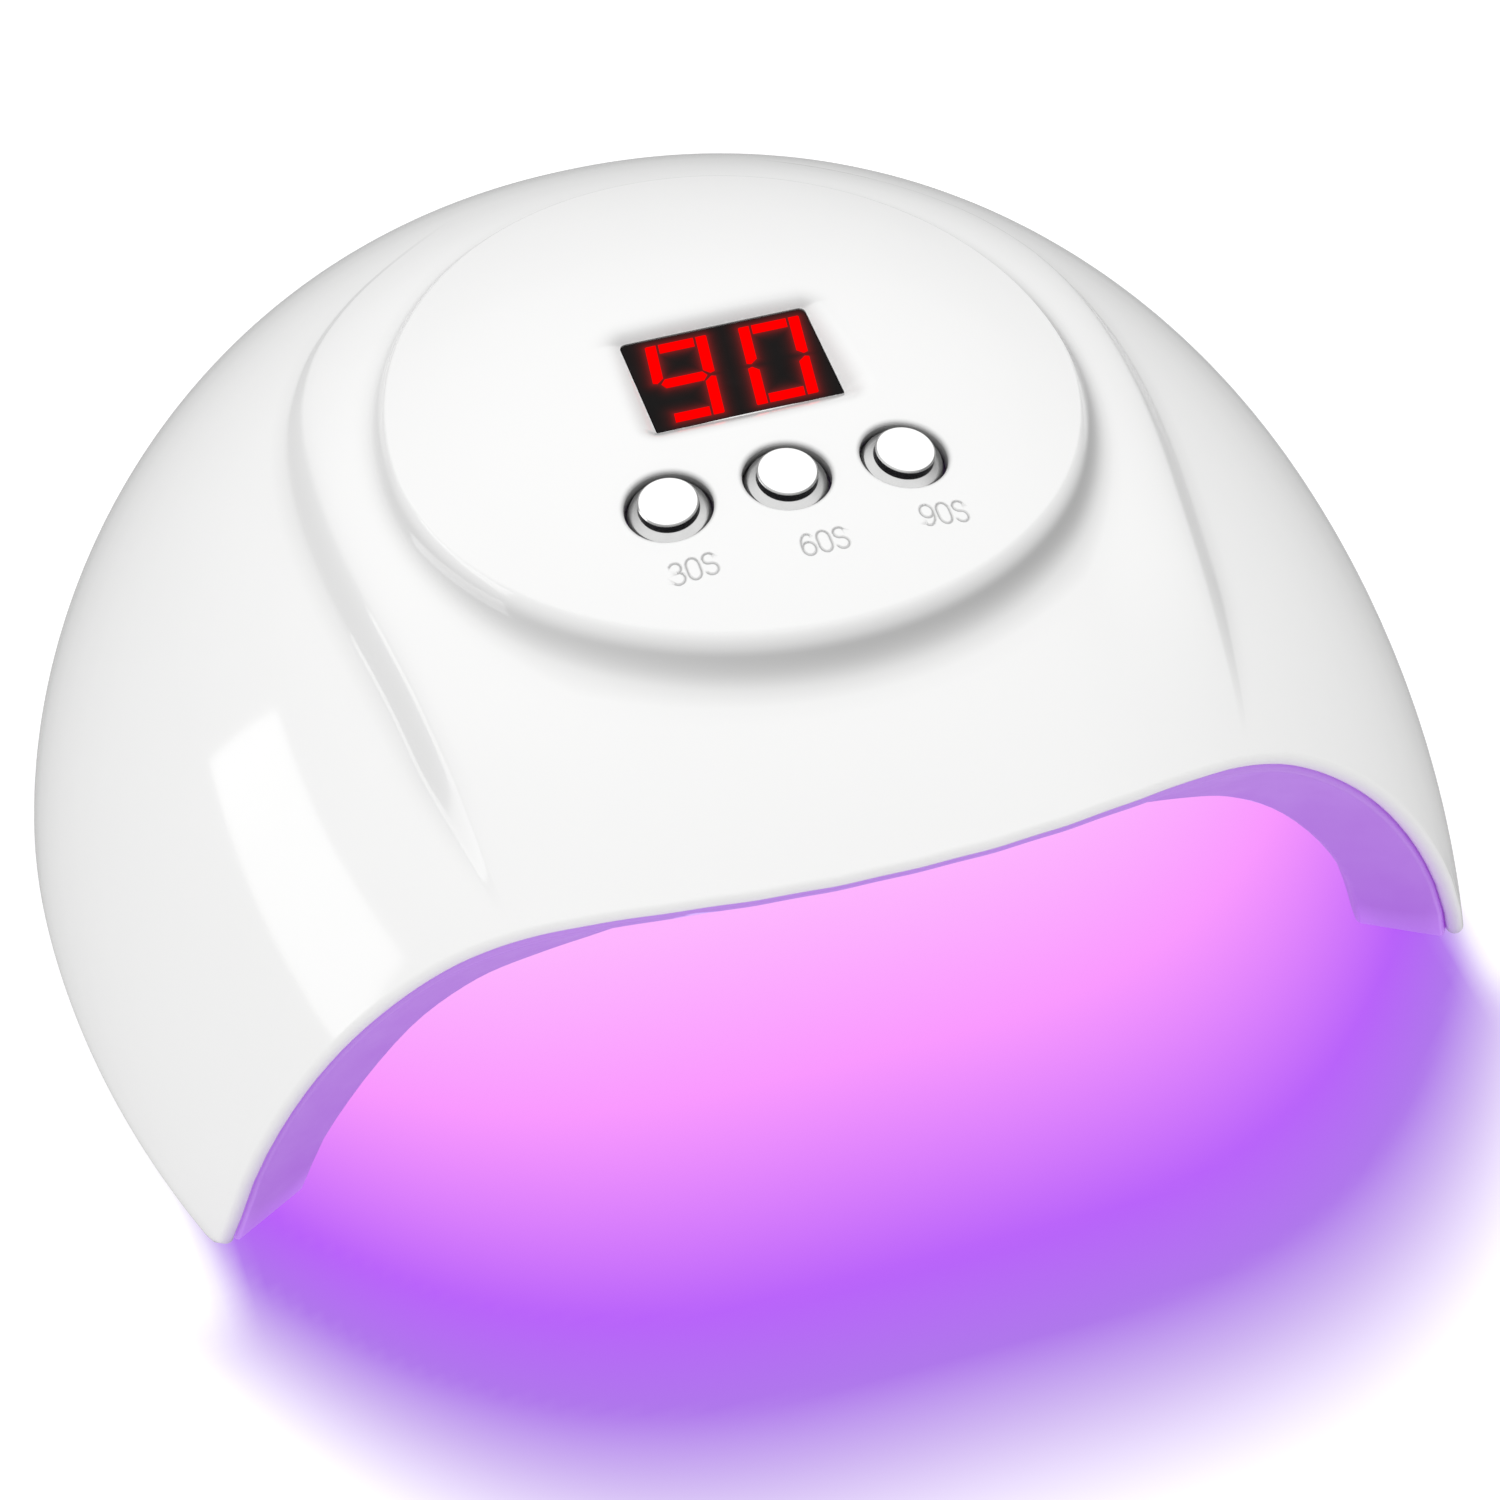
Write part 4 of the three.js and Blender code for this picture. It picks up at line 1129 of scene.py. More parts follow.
def finish(name, col, rough=0.35, metal=0.0, var=0.05, dv=0.06, bump=0.02, fine=1800, coarse=45, ior=1.5, coat=0.0, coat_rough=0.06,
           edge=0.5, edge_col=None, dist=2e-5, sss=0.0, emit=None, emit_s=0.0, spec=0.5, trans=0.0, ao=None, shade=0.0):
    """Procedural finish: mottled colour, uneven gloss, fine grain, and edges painted lighter, as worn rubbing and with
    the liner's settings as a painted highlight; optional painted shade from ambient occlusion and from the shade
    attribute.
    """
    m, nt, bs, out = new_mat(name)
    tc = nt.nodes.new("ShaderNodeTexCoord").outputs["Object"]
    big = noise(nt, tc, coarse, 4)
    small = noise(nt, tc, fine, 3)
    lo = tuple(c * (1 - var) for c in col[:3]) + (1,)
    hi = tuple(min(c * (1 + var * 0.6), 1) for c in col[:3]) + (1,)
    base = ramp(nt, big, 0.34, 0.68, lo, hi)
    geo = nt.nodes.new("ShaderNodeNewGeometry")
    # edges lighter by pointiness: worn rubbing, and with the liner's light edge colour a painted highlight
    edge_wear_and_highlight = ramp(nt, geo.outputs["Pointiness"], 0.52, 0.6)
    mx = nt.nodes.new("ShaderNodeMix")
    mx.data_type = "RGBA"
    nt.links.new(base, mx.inputs["A"])
    mx.inputs["B"].default_value = edge_col or tuple(min(c * 1.15 + 0.02, 1) for c in col[:3]) + (1,)
    mm = nt.nodes.new("ShaderNodeMath")
    mm.operation = "MULTIPLY"
    nt.links.new(edge_wear_and_highlight, mm.inputs[0])
    mm.inputs[1].default_value = edge
    nt.links.new(mm.outputs[0], mx.inputs["Factor"])
    colour = mx.outputs["Result"]
    if ao:  # painted shade: a little darker in creases, pockets and under the raised oval
        oc = nt.nodes.new("ShaderNodeAmbientOcclusion")
        oc.inputs["Distance"].default_value = ao[0]
        oc.samples = 8
        pw = nt.nodes.new("ShaderNodeMath")
        pw.operation = "POWER"
        nt.links.new(oc.outputs["AO"], pw.inputs[0])
        pw.inputs[1].default_value = ao[1]
        dk = nt.nodes.new("ShaderNodeMix")
        dk.data_type = "RGBA"
        nt.links.new(pw.outputs[0], dk.inputs["Factor"])
        dk.inputs["A"].default_value = (0.02, 0.02, 0.021, 1)
        nt.links.new(colour, dk.inputs["B"])
        colour = dk.outputs["Result"]
    if shade:  # painted shade, strongest along the foot of the raised oval, the display's bevel and the hood crease
        sh = nt.nodes.new("ShaderNodeAttribute")
        sh.attribute_name = "shade"
        sm = nt.nodes.new("ShaderNodeMath")
        sm.operation = "MULTIPLY"
        nt.links.new(sh.outputs["Fac"], sm.inputs[0])
        sm.inputs[1].default_value = shade
        dk2 = nt.nodes.new("ShaderNodeMix")
        dk2.data_type = "RGBA"
        nt.links.new(sm.outputs[0], dk2.inputs["Factor"])
        nt.links.new(colour, dk2.inputs["A"])
        dk2.inputs["B"].default_value = (0.12, 0.118, 0.12, 1)
        colour = dk2.outputs["Result"]
    nt.links.new(colour, bs.inputs["Base Color"])
    mr = nt.nodes.new("ShaderNodeMapRange")
    mr.inputs["To Min"].default_value = max(rough - dv, 0.02)
    mr.inputs["To Max"].default_value = rough + dv
    mr.inputs["From Min"].default_value, mr.inputs["From Max"].default_value = 0.3, 0.7
    nt.links.new(noise(nt, tc, coarse * 3.1, 5), mr.inputs["Value"])
    nt.links.new(mr.outputs["Result"], bs.inputs["Roughness"])
    bp = nt.nodes.new("ShaderNodeBump")
    bp.inputs["Strength"].default_value = bump
    bp.inputs["Distance"].default_value = dist
    nt.links.new(small, bp.inputs["Height"])
    nt.links.new(bp.outputs[0], bs.inputs["Normal"])
    bs.inputs["Metallic"].default_value = metal
    bs.inputs["IOR"].default_value = ior
    bs.inputs["Specular IOR Level"].default_value = spec
    bs.inputs["Coat Weight"].default_value = coat
    bs.inputs["Coat Roughness"].default_value = coat_rough
    bs.inputs["Transmission Weight"].default_value = trans
    if sss:
        bs.inputs["Subsurface Weight"].default_value = sss
        bs.inputs["Subsurface Radius"].default_value = (1.0, 0.9, 0.8)
        bs.inputs["Subsurface Scale"].default_value = 0.002
    if emit:
        bs.inputs["Emission Color"].default_value = emit
        bs.inputs["Emission Strength"].default_value = emit_s
    return m


# the shell's white carries painted shade: ambient occlusion darkening and the shade attribute
M_WHITE = finish("shell_gloss_white_painted_shade", (0.885, 0.885, 0.885), rough=0.085, var=0.006, dv=0.015, bump=0.03, fine=700, coarse=28, ao=(0.004, 0.6), shade=0.85, edge=0.15, edge_col=(0.92, 0.92, 0.92, 1), dist=1.2e-5)
# painted shade: the numerals' grooves are a flat darker grey standing in for the shade inside them
M_CUT = finish("numerals_painted_groove_shade", (0.47, 0.47, 0.47), rough=0.4, var=0.06, bump=0.05, fine=1500, coarse=300, edge=0.1)
# painted light: the liner's violet base tint and its own violet emission stand in for the lamp's light falling on it,
# and its rounded edges are painted lighter as a highlight
M_LINER = finish("liner_satin_painted_violet_light", (0.29, 0.23, 0.36), rough=0.42, var=0.02, bump=0.06, fine=1500, coarse=60, edge=0.7, edge_col=(0.85, 0.72, 0.95, 1), emit=(0.215, 0.035, 0.42, 1), emit_s=1.0)
M_CHROME = finish("button_chrome", (0.86, 0.86, 0.86), rough=0.12, metal=1.0, var=0.015, dv=0.03, bump=0.02, fine=2600, coarse=400, edge=0.0)
M_SKIRT = finish("button_skirt", (0.58, 0.58, 0.58), rough=0.2, metal=0.9, var=0.03, dv=0.03, bump=0.006, fine=2600, coarse=400, edge=0.0)
# painted reflection: the cap's side is black, standing in for the dark reflection on a chrome side
M_PAINTED_REFLECTION = finish("button_side_painted_reflection", (0.012, 0.012, 0.014), rough=0.22, metal=0.0, var=0.2, dv=0.04, bump=0.03, fine=2600, coarse=400, edge=0.1)
M_BODY = finish("display_case", (0.02, 0.02, 0.022), rough=0.3, var=0.15, bump=0.05, fine=2500, coarse=220, edge=0.25, edge_col=(0.06, 0.06, 0.065, 1))
M_BLACK = finish("black_plastic", (0.022, 0.022, 0.024), rough=0.42, var=0.15, bump=0.15, fine=2500, coarse=150, edge=0.3, edge_col=(0.07, 0.07, 0.07, 1))
M_GREEN = finish("board_green", (0.02, 0.16, 0.07), rough=0.35, var=0.15, bump=0.1, fine=900, coarse=120, edge=0.4, edge_col=(0.35, 0.33, 0.18, 1), coat=0.3)
M_BWHITE = finish("board_white", (0.78, 0.79, 0.78), rough=0.4, var=0.05, bump=0.1, fine=900, coarse=120, edge=0.4, edge_col=(0.45, 0.42, 0.3, 1))
M_RUBBER = finish("foot_rubber", (0.05, 0.05, 0.055), rough=0.7, var=0.2, bump=0.4, fine=2200, coarse=150, edge=0.3, edge_col=(0.12, 0.12, 0.12, 1))
M_STEEL = finish("screw_steel", (0.62, 0.62, 0.63), rough=0.28, metal=1.0, var=0.08, bump=0.12, fine=3500, coarse=500, edge=0.5)
M_SLEEVE = finish("capacitor_sleeve", (0.03, 0.05, 0.16), rough=0.35, var=0.12, bump=0.08, fine=1500, coarse=300, edge=0.3)
M_LEAD = finish("lead_insulation", (0.25, 0.02, 0.02), rough=0.45, var=0.1, bump=0.1, fine=1500, coarse=300, edge=0.2)
M_LENS = finish("lamp_bead", (0.55, 0.42, 0.72), rough=0.12, var=0.04, bump=0.03, fine=1800, coarse=500, edge=0.2, coat=0.6, emit=(0.42, 0.10, 1.0, 1), emit_s=5.0)

# display face: dark tinted window, with a painted red glow round the lit bars emitted by the window itself
M_FACE, nt, bs, _ = new_mat("display_window")
tc = nt.nodes.new("ShaderNodeTexCoord").outputs["Object"]
nt.links.new(ramp(nt, noise(nt, tc, 300, 4), 0.3, 0.7, (0.0030, 0.0029, 0.0029, 1), (0.0045, 0.0043, 0.0043, 1)), bs.inputs["Base Color"])
mr = nt.nodes.new("ShaderNodeMapRange")
mr.inputs["To Min"].default_value, mr.inputs["To Max"].default_value = 0.36, 0.5
nt.links.new(noise(nt, tc, 700, 4), mr.inputs["Value"])
nt.links.new(mr.outputs["Result"], bs.inputs["Roughness"])
bp = nt.nodes.new("ShaderNodeBump")
bp.inputs["Strength"].default_value, bp.inputs["Distance"].default_value = 0.05, 1e-5
nt.links.new(noise(nt, tc, 2600, 2), bp.inputs["Height"])
nt.links.new(bp.outputs[0], bs.inputs["Normal"])
bs.inputs["Specular IOR Level"].default_value = 0.06
at_ = nt.nodes.new("ShaderNodeAttribute")
at_.attribute_name = "glow"
nt.links.new(ramp(nt, at_.outputs["Fac"], 0.0, 1.0, (0, 0, 0, 1), (0.20, 0.002, 0.002, 1)), bs.inputs["Emission Color"])
bs.inputs["Emission Strength"].default_value = 1.0

M_SEG, nt, bs, _ = new_mat("display_bars")
tc = nt.nodes.new("ShaderNodeTexCoord").outputs["Object"]
nt.links.new(ramp(nt, noise(nt, tc, 900, 3), 0.3, 0.7, (0.9, 0.0, 0.0, 1), (1.0, 0.0, 0.0, 1)), bs.inputs["Emission Color"])
bs.inputs["Emission Strength"].default_value = 1.05
nt.links.new(ramp(nt, noise(nt, tc, 1200, 3), 0.3, 0.7, (0.08, 0.0, 0.0, 1), (0.11, 0.0, 0.0, 1)), bs.inputs["Base Color"])
bs.inputs["Specular IOR Level"].default_value = 0.0
mr = nt.nodes.new("ShaderNodeMapRange")
mr.inputs["To Min"].default_value, mr.inputs["To Max"].default_value = 0.5, 0.6
nt.links.new(noise(nt, tc, 900, 2), mr.inputs["Value"])
nt.links.new(mr.outputs["Result"], bs.inputs["Roughness"])

BY_NAME = [("led_board", M_BWHITE), ("led_", M_LENS), ("control_board", M_GREEN), ("microcontroller", M_BLACK), ("power_transistor", M_BLACK), ("filter_capacitor", M_SLEEVE),
           ("liner_screw", M_STEEL), ("board_screw", M_STEEL), ("switch_body", M_BLACK), ("switch_plunger", M_RUBBER), ("power_socket", M_BLACK), ("socket_pin", M_STEEL),
           ("foot_", M_RUBBER), ("lead_", M_LEAD), ("top_shell", M_WHITE), ("inner_liner", M_LINER), ("button_cap", M_CHROME), ("display_module", M_BODY)]
for nm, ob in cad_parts.items():
    for key, m in BY_NAME:
        if nm.startswith(key):
            ob.data.materials.clear()
            ob.data.materials.append(m)
            break
    if nm.startswith(("led_board", "control_board", "microcontroller", "power_transistor", "switch_body", "power_socket", "foot_", "liner_screw", "board_screw", "filter_capacitor", "switch_plunger", "socket_pin")):
        bv = ob.modifiers.new("edge", "BEVEL")
        bv.width, bv.segments, bv.limit_method, bv.angle_limit = 0.00012, 2, "ANGLE", math.radians(50)

# ------------------------------------------------------------------ pieces
shell_ob = shell.build("shell_looks", [M_WHITE, M_CUT], "root")
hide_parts("top_shell")
# painted shade for the shell, kept in the shade attribute: darker along the foot of the raised oval, most on its front
# side and more on the right than the left, along the display pocket's bevel, most at its back edge and none at its
# front, and along the hood crease
sv = np.empty(len(shell_ob.data.vertices) * 3, np.float32)
shell_ob.data.vertices.foreach_get("co", sv)
sv = sv.reshape(-1, 3).astype(float) * 1000.0
sv[:, 1] += YC
od, ow, ofr = oval_local(sv[:, 0], sv[:, 1])
outer = sv[:, 2] > dome_z(DOME, sv[:, 0], sv[:, 1]) - 1.2
q_ = od / ow
prof_ = np.where(q_ < 0.62, np.exp(-(((0.62 - q_) / 0.72) ** 2)), np.exp(-(((q_ - 0.62) / 0.2) ** 2)))
ang_ = np.arctan2((sv[:, 1] - OYC) / 50, sv[:, 0] / 46)
towards = np.clip(0.50 - 0.50 * np.sin(ang_) + 0.22 * np.cos(ang_), 0.05, 1.0)
shade_v = 0.66 * prof_ * towards * outer
dv_ = sv - DECK_O
du_, dw_, dh_ = dv_ @ DECK_X, dv_ @ DECK_Y, dv_ @ DECK_N
dd_ = rect_distance(du_, dw_, WIN_W, WIN_H, POCKET_R_TOP, POCKET_R_BOT)
side_ = np.clip(0.10 + 0.55 * smooth((dw_ - WIN_H / 2 + 0.6) / 0.8) + 0.10 * smooth((du_ - WIN_W / 2 + 0.6) / 0.8), 0, 1)
side_ = side_ * (1 - smooth((-dw_ - WIN_H / 2 + 1.0) / 1.0))
shade_v = np.maximum(shade_v, 0.62 * side_ * np.exp(-((np.maximum(dd_ - 0.3, 0) / 1.9) ** 2)) * (np.abs(dh_) < 6))
cd_, ca_, cw_ = crease_local(sv[:, 0], sv[:, 1])
shade_v = np.maximum(shade_v, 0.17 * ca_ * np.exp(-(((cd_ - 0.3) / (0.75 * cw_)) ** 2)) * outer * (1 - oval_share(sv[:, 0], sv[:, 1])))
at_s = shell_ob.data.attributes.new("shade", "FLOAT", "POINT")
at_s.data.foreach_set("value", np.clip(shade_v, 0, 1).astype(np.float32))

liner_ob = liner.build("liner_looks", [M_LINER], "root")

BEADS = [((x, y, 50.6), (0, 0, -1)) for x, y in ((-34, -22), (-12, -26), (12, -26), (34, -22), (-34, 24), (-12, 28), (12, 28), (34, 24))]
for sgn in (1, -1):
    BEADS += [((-74.37 * sgn, y, 21.6), (0.8957 * sgn, 0.0033, -0.4447)) for y in (-23, -5, 13, 31)]
BEADS += [((-8, 79.11, 26.7), (0, -0.8527, -0.5224)), ((8, 79.11, 26.7), (0, -0.8527, -0.5224))]

# round openings for the beads, cut through the liner with one boolean
cutter = Body()
for o, d in BEADS:
    lathe(cutter, [(0, -3), (3.9, -3), (3.9, 12), (0, 12)], o, d, None, 40)
cut_ob = cutter.build("bead_cutter", [], "root")
bo = liner_ob.modifiers.new("bead_holes", "BOOLEAN")
bo.operation, bo.solver, bo.object = "DIFFERENCE", "EXACT", cut_ob
dg = bpy.context.evaluated_depsgraph_get()
done = bpy.data.meshes.new_from_object(liner_ob.evaluated_get(dg))
liner_ob.modifiers.clear()
old = liner_ob.data
liner_ob.data = done
bpy.data.meshes.remove(old)
cm = cut_ob.data
bpy.data.objects.remove(cut_ob)
bpy.data.meshes.remove(cm)
done.materials.clear()
done.materials.append(M_LINER)
done.shade_smooth() if hasattr(done, "shade_smooth") else None
done.set_sharp_from_angle(angle=math.radians(35))
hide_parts("inner_liner")

bead_prof = round_profile([(0, 0.3), (3.4, 0.3), (3.4, 1.3), (2.75, 1.3), (2.68, 1.9)], 0.12, 3)
dome_prof = [(2.68 * math.cos(t), 1.9 + 1.9 * math.sin(t)) for t in np.linspace(0.08, math.pi / 2, 12)]
dome_prof[-1] = (0, 3.8)
bead_prof = [tuple(p) for p in bead_prof] + dome_prof
for i, (o, d) in enumerate(BEADS):
    bb = Body()
    lathe(bb, bead_prof, o, d, None, 48)
    ob = bb.build("bead_looks_%02d" % (i + 1), [M_LENS], "root")
    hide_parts("led_%02d" % (i + 1))

# push buttons: cap, a black band on the cap's side that is a painted dark reflection, flared skirt, hidden flange and
# stem
for b in BUTTONS:
    st = b["stem"]
    pts = [(0, -st), (1.8, -st), (1.8, -5.0), (6.2, -5.0), (6.2, -4.15), (5.25, -4.15), (5.25, -2.6), (5.0, -2.05), (3.86, -1.45), (3.84, -1.3), (3.84, -0.28), (3.62, -0.05), (0, -0.04)]
    rr = [0, 0.1, 0.2, 0.15, 0.15, 0.2, 0.12, 0.3, 0.1, 0.05, 0.12, 0.14, 0]
    prof = [tuple(p) for p in round_profile(pts, rr, 4)]

    def pick(a, c):
        zm, rm = (a[1] + c[1]) / 2, (a[0] + c[0]) / 2
        if zm < -1.36:
            return 1
        if zm < -0.5:
            return 2
        return 1 if zm < -0.08 else 0

    bb = Body()
    lathe(bb, prof, b["top"], b["n"], pick, 128)
    ob = bb.build("cap_looks_" + b["id"], [M_CHROME, M_SKIRT, M_PAINTED_REFLECTION], "button_" + b["id"])
    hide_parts("button_cap_" + b["id"])

# display: case, window and lit bars
BARW, BARH, SLANT = 0.058 * WIN_W, 0.096 * WIN_H, math.tan(math.radians(8.0))
DIG_H, DIG_W = 0.862 * WIN_H, 0.332 * WIN_W
bars = []


def digit(cx, lit):
    h, w = DIG_H / 2, DIG_W / 2
    g = 0.34
    bw, bh = BARW, BARH
    hw = w - bw
    def hor(y, top):
        # the middle bar is a long hexagon; the top and bottom bars sit square between the uprights
        if top == 0:
            return [(-w + bw * 0.5 + g, y), (-hw + g * 0.5, y + bh / 2), (hw - g * 0.5, y + bh / 2), (w - bw * 0.5 - g, y), (hw - g * 0.5, y - bh / 2), (-hw + g * 0.5, y - bh / 2)]
        s = top
        return [(-hw + g, y + s * bh / 2), (hw - g, y + s * bh / 2), (hw - g, y - s * bh / 2), (-hw + g, y - s * bh / 2)]

    def ver(x, s, y0, y1, top):
        # s: side (-1 left, 1 right)
        xo, xi = x + s * bw / 2, x - s * bw / 2
        if top:
            return [(xo, y1 - 0.15), (xo - s * 0.15, y1), (xi, y1), (xi, y0 + bh / 2 + g * 0.7), (x + s * bw * 0.1, y0 + g * 0.8), (xo, y0 + g * 1.4)]
        return [(xo, y0 + 0.15), (xo - s * 0.15, y0), (xi, y0), (xi, y1 - bh / 2 - g * 0.7), (x + s * bw * 0.1, y1 - g * 0.8), (xo, y1 - g * 1.4)]

    segs = {"a": hor(h - bh / 2, 1), "d": hor(-h + bh / 2, -1), "g": hor(0, 0), "f": ver(-w + bw / 2, -1, 0, h, True), "b": ver(w - bw / 2, 1, 0, h, True),
            "e": ver(-w + bw / 2, -1, -h, 0, False), "c": ver(w - bw / 2, 1, -h, 0, False)}
    for k in lit:
        p = np.array(segs[k])
        p[:, 0] = cx + p[:, 0] + p[:, 1] * SLANT
        a2 = np.sum(p[:, 0] * np.roll(p[:, 1], -1) - np.roll(p[:, 0], -1) * p[:, 1])
        bars.append(p if a2 > 0 else p[::-1])


digit(-0.2515 * WIN_W, "abcdfg")
digit(0.2545 * WIN_W, "abcdef")


def polygon_distance(p, poly):
    a, b = poly, np.roll(poly, -1, 0)
    ab = b - a
    t = np.clip(((p[:, None] - a[None]) * ab[None]).sum(-1) / (ab * ab).sum(-1)[None], 0, 1)
    d = np.linalg.norm(p[:, None] - (a[None] + t[..., None] * ab[None]), axis=-1).min(1)
    return np.where(inside_polygon(p, poly), 0, d)


case = Body()
prism(case, rounded_rect(25, 19, 0.4, 0.4, 0, 0.5), -8.0, -3.2, on_deck, 0.15)
face = Body()
outl = rounded_rect(WIN_W, WIN_H, POCKET_R_TOP - 0.1, 0.2, 0, 0.2)
gx, gy = np.meshgrid(np.arange(-WIN_W / 2, WIN_W / 2, 0.2), np.arange(-WIN_H / 2, WIN_H / 2, 0.2))
q = np.stack([gx.ravel(), gy.ravel()], 1)
q = q[rect_distance(q[:, 0], q[:, 1], WIN_W, WIN_H, POCKET_R_TOP - 0.1, 0.2) < -0.2]
lid_ = outl + norm(-outl) * 0.06
tri = triangulate(lid_, [], q)
top_ids = face.verts(on_deck(np.concatenate([np.concatenate([lid_, q]), np.zeros((len(lid_) + len(q), 1))], 1)))
face.faces(top_ids[tri], np.tile(DECK_N, (len(tri), 3, 1)))
n = len(outl)
r1 = face.verts(on_deck(np.concatenate([outl, np.full((n, 1), -0.06)], 1)))
r2 = face.verts(on_deck(np.concatenate([outl, np.full((n, 1), -3.25)], 1)))
c0 = face.verts(on_deck(np.array([[0, 0, -3.25]])))[0]
for A, B in ((r2, r1), (r1, top_ids[:n])):
    face.faces(np.stack([A, np.roll(A, -1), np.roll(B, -1), B], -1), None)
face.faces(np.stack([np.full(n, c0), np.roll(r2, -1), r2], -1), None)
case_ob = case.build("display_case_looks", [M_BODY], "root")
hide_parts("display_module")
face_ob = face.build("display_window_looks", [M_FACE], "root")
co = np.empty(len(face_ob.data.vertices) * 3, np.float32)
face_ob.data.vertices.foreach_get("co", co)
co = co.reshape(-1, 3) * 1000.0
co[:, 1] += YC
lu, lv = (co - DECK_O) @ DECK_X, (co - DECK_O) @ DECK_Y
# painted light: the bars' red halo on the window, fading with distance from each bar, kept in the glow attribute
gl = np.zeros(len(co))
for poly in bars:
    d = polygon_distance(np.stack([lu, lv], 1), poly)
    gl = np.maximum(gl, np.exp(-d / 0.5))
at_g = face_ob.data.attributes.new("glow", "FLOAT", "POINT")
at_g.data.foreach_set("value", gl.astype(np.float32))
seg_b = Body()
for poly in bars:
    prism(seg_b, poly, 0.004, 0.05, on_deck, 0.02)
seg_ob = seg_b.build("display_bars_looks", [M_SEG], "root")

# ------------------------------------------------------------------ table, with the lamp's violet light painted on it as emission, spilling forward
FLOOR_W = srgb(255, 255, 255)[:3]
YTAB = [(-20, (255, 185, 255)), (-50, (250, 155, 255)), (-85, (185, 100, 250)), (-100, (175, 120, 235)), (-132, (255, 255, 255))]  # pale pink, pink, violet, dull violet, white


def painted_light_pool(x, y):
    """The lamp's violet light painted on the table: one run of colours going forward, reached sooner towards the sides.
    """
    ys = np.array([t[0] for t in YTAB][::-1], float)
    cs = np.array([srgb(*t[1])[:3] for t in YTAB][::-1])
    run = y - 35 * np.minimum(np.abs(x) / 80, 3.0) ** 3.3
    side = smooth((np.abs(x) - 83) / 8) * smooth((y + 74) / 14)
    side = np.maximum(side, smooth((np.hypot(x / 88, y / 92) - 0.93) / 0.06) * smooth(y / 12))
    side = np.maximum(side, smooth((y - 64) / 6))
    c = np.stack([np.interp(run, ys, cs[:, k]) for k in range(3)], -1)
    m = smooth((run + 134) / 26) * (1 - side)
    c = c * (1 - side[..., None]) + side[..., None]
    aim = c * 1.0 + 0.1 * (1 - m[..., None])
    return (aim - (0.02 * m + 0.31 * (1 - m))[..., None] * 0.9) / 0.80, m


def floor_mesh():
    inner_x = np.arange(-160, 161, 2.0)
    outer = np.array([200, 300, 500, 900, 1600, 3000.0, 6000.0, 12000.0])
    xs = np.concatenate([-outer[::-1], inner_x, outer])
    ysr = np.concatenate([-outer[::-1] - 20, np.arange(-180, 61, 2.0), [100, 200, 400, 900, 1800, 3000.0, 6000.0, 12000.0]])
    X, Y = np.meshgrid(xs, ysr)
    b = Body()
    ids_ = b.verts(np.stack([X, Y, np.zeros_like(X)], -1)).reshape(X.shape)
    f = np.stack([ids_[:-1, :-1], ids_[:-1, 1:], ids_[1:, 1:], ids_[1:, :-1]], -1).reshape(-1, 4)
    b.faces(f, np.tile([0, 0, 1.0], (len(f), 4, 1)))
    me = bpy.data.meshes.new("table_top")
    P = to_row(b.pos())
    me.from_pydata([tuple(v) for v in P], [], [tuple(int(i) for i in q_) for q_ in f])
    # painted light: the violet colour and its mask for each point of the table
    col, m = painted_light_pool(X.ravel(), Y.ravel())
    a = me.attributes.new("painted_spill_light", "FLOAT_COLOR", "POINT")
    a.data.foreach_set("color", np.concatenate([col, m[:, None]], 1).astype(np.float32).ravel())
    ob = bpy.data.objects.new("table_top", me)
    COL.objects.link(ob)
    return ob


# painted light: the table emits the violet patch, and inside it the diffuse colour drops to near black so only the
# painted colour shows
M_TABLE, nt, bs, out = new_mat("table_pale_painted_violet_light")
tc = nt.nodes.new("ShaderNodeTexCoord").outputs["Object"]
at_ = nt.nodes.new("ShaderNodeAttribute")
at_.attribute_name = "painted_spill_light"
inv = nt.nodes.new("ShaderNodeMath")
inv.operation = "SUBTRACT"
inv.inputs[0].default_value = 1.0
nt.links.new(at_.outputs["Alpha"], inv.inputs[1])
mxc = nt.nodes.new("ShaderNodeMix")
mxc.data_type = "RGBA"
nt.links.new(inv.outputs[0], mxc.inputs["Factor"])
mxc.inputs["A"].default_value = (0.02, 0.02, 0.02, 1)
nt.links.new(ramp(nt, noise(nt, tc, 20, 4), 0.3, 0.7, (0.30, 0.30, 0.30, 1), (0.32, 0.32, 0.32, 1)), mxc.inputs["B"])
nt.links.new(mxc.outputs["Result"], bs.inputs["Base Color"])
nt.links.new(at_.outputs["Color"], bs.inputs["Emission Color"])
FLOOR_EMIT = 0.80
bs.inputs["Emission Strength"].default_value = FLOOR_EMIT
bs.inputs["Specular IOR Level"].default_value = 0.0
mr = nt.nodes.new("ShaderNodeMapRange")
mr.inputs["To Min"].default_value, mr.inputs["To Max"].default_value = 0.7, 0.85
nt.links.new(noise(nt, tc, 60, 4), mr.inputs["Value"])
nt.links.new(mr.outputs["Result"], bs.inputs["Roughness"])
table = floor_mesh()
table.data.materials.append(M_TABLE)
table.visible_glossy = False

# ------------------------------------------------------------------ light: soft dome and a long softbox to the left; the lamp's violet is painted light, emitted by the table and the liner
world = bpy.data.worlds.new("soft_studio")
SC.world = world
world.use_nodes = True
nt = world.node_tree
nt.nodes.clear()
wo = nt.nodes.new("ShaderNodeOutputWorld")
bg = nt.nodes.new("ShaderNodeBackground")
nt.links.new(bg.outputs[0], wo.inputs[0])
tcw = nt.nodes.new("ShaderNodeTexCoord")
sep = nt.nodes.new("ShaderNodeSeparateXYZ")
nt.links.new(tcw.outputs["Generated"], sep.inputs[0])


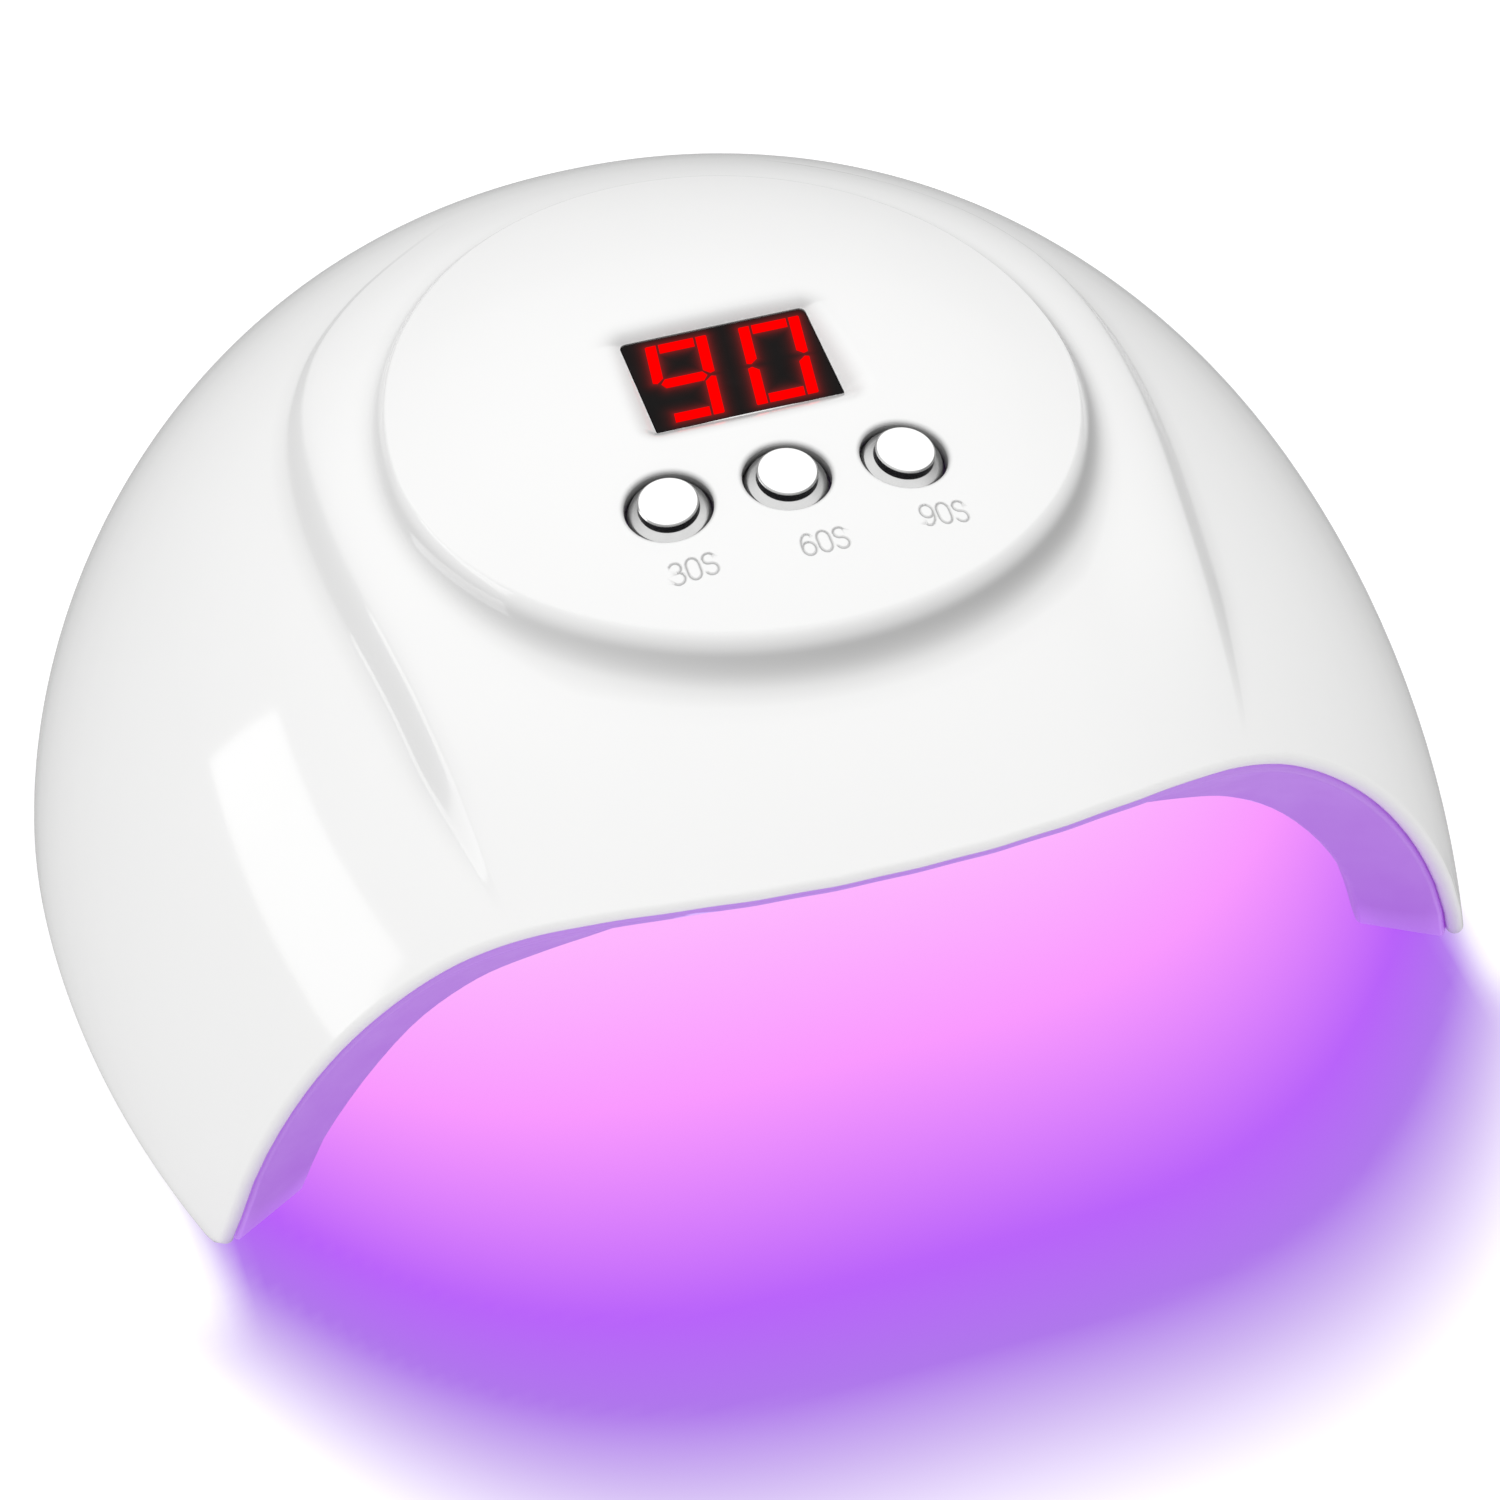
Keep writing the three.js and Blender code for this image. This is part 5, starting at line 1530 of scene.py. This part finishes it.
def wramp(src, stops):
    r = nt.nodes.new("ShaderNodeValToRGB")
    els = r.color_ramp.elements
    while len(els) < len(stops):
        els.new(0.5)
    for e_, (p_, v_) in zip(els, stops):
        e_.position, e_.color = p_, (v_, v_, v_, 1)
    nt.links.new(src, r.inputs[0])
    return r.outputs[0]


def unit(src):
    m_ = nt.nodes.new("ShaderNodeMath")
    m_.operation = "MULTIPLY_ADD"
    nt.links.new(src, m_.inputs[0])
    m_.inputs[1].default_value, m_.inputs[2].default_value = 0.5, 0.5
    return m_.outputs[0]


# low down: dim in front, brighter to the left than to the right; high up: even and bright
low_y = wramp(unit(sep.outputs["Y"]), [(0.0, 0.16), (0.2, 0.30), (0.5, 0.74), (1.0, 0.42)])
low_x = wramp(unit(sep.outputs["X"]), [(0.0, 1.0), (0.5, 0.84), (1.0, 0.52)])
mulw = nt.nodes.new("ShaderNodeMix")
mulw.data_type, mulw.blend_type = "RGBA", "MULTIPLY"
mulw.inputs["Factor"].default_value = 1.0
nt.links.new(low_y, mulw.inputs["A"])
nt.links.new(low_x, mulw.inputs["B"])
mixw = nt.nodes.new("ShaderNodeMix")
mixw.data_type = "RGBA"
nt.links.new(wramp(sep.outputs["Z"], [(0.0, 0.0), (0.30, 0.16), (0.72, 1.0)]), mixw.inputs["Factor"])
nt.links.new(mulw.outputs["Result"], mixw.inputs["A"])
mixw.inputs["B"].default_value = (1.30, 1.30, 1.295, 1)
nt.links.new(mixw.outputs["Result"], bg.inputs["Color"])
bg.inputs["Strength"].default_value = 1.0


def area(name, loc, aim, sx, sy, power, colour=(1, 1, 1)):
    L = bpy.data.lights.new(name, "AREA")
    L.shape, L.size, L.size_y, L.energy, L.color = "RECTANGLE", sx, sy, power, colour
    o = bpy.data.objects.new(name, L)
    COL.objects.link(o)
    o.location = loc
    o.rotation_mode = "QUATERNION"
    o.rotation_quaternion = (Vector(aim) - Vector(loc)).to_track_quat("-Z", "Y")
    o.visible_camera = False
    return o


box_l = area("softbox_left", (-0.80, 0.202, 0.23), (0.2, 0.202, 0.23), 0.53, 0.25, 0.82)
box_l.visible_diffuse = False
SC.view_settings.view_transform = "Standard"
SC.view_settings.look = "None"
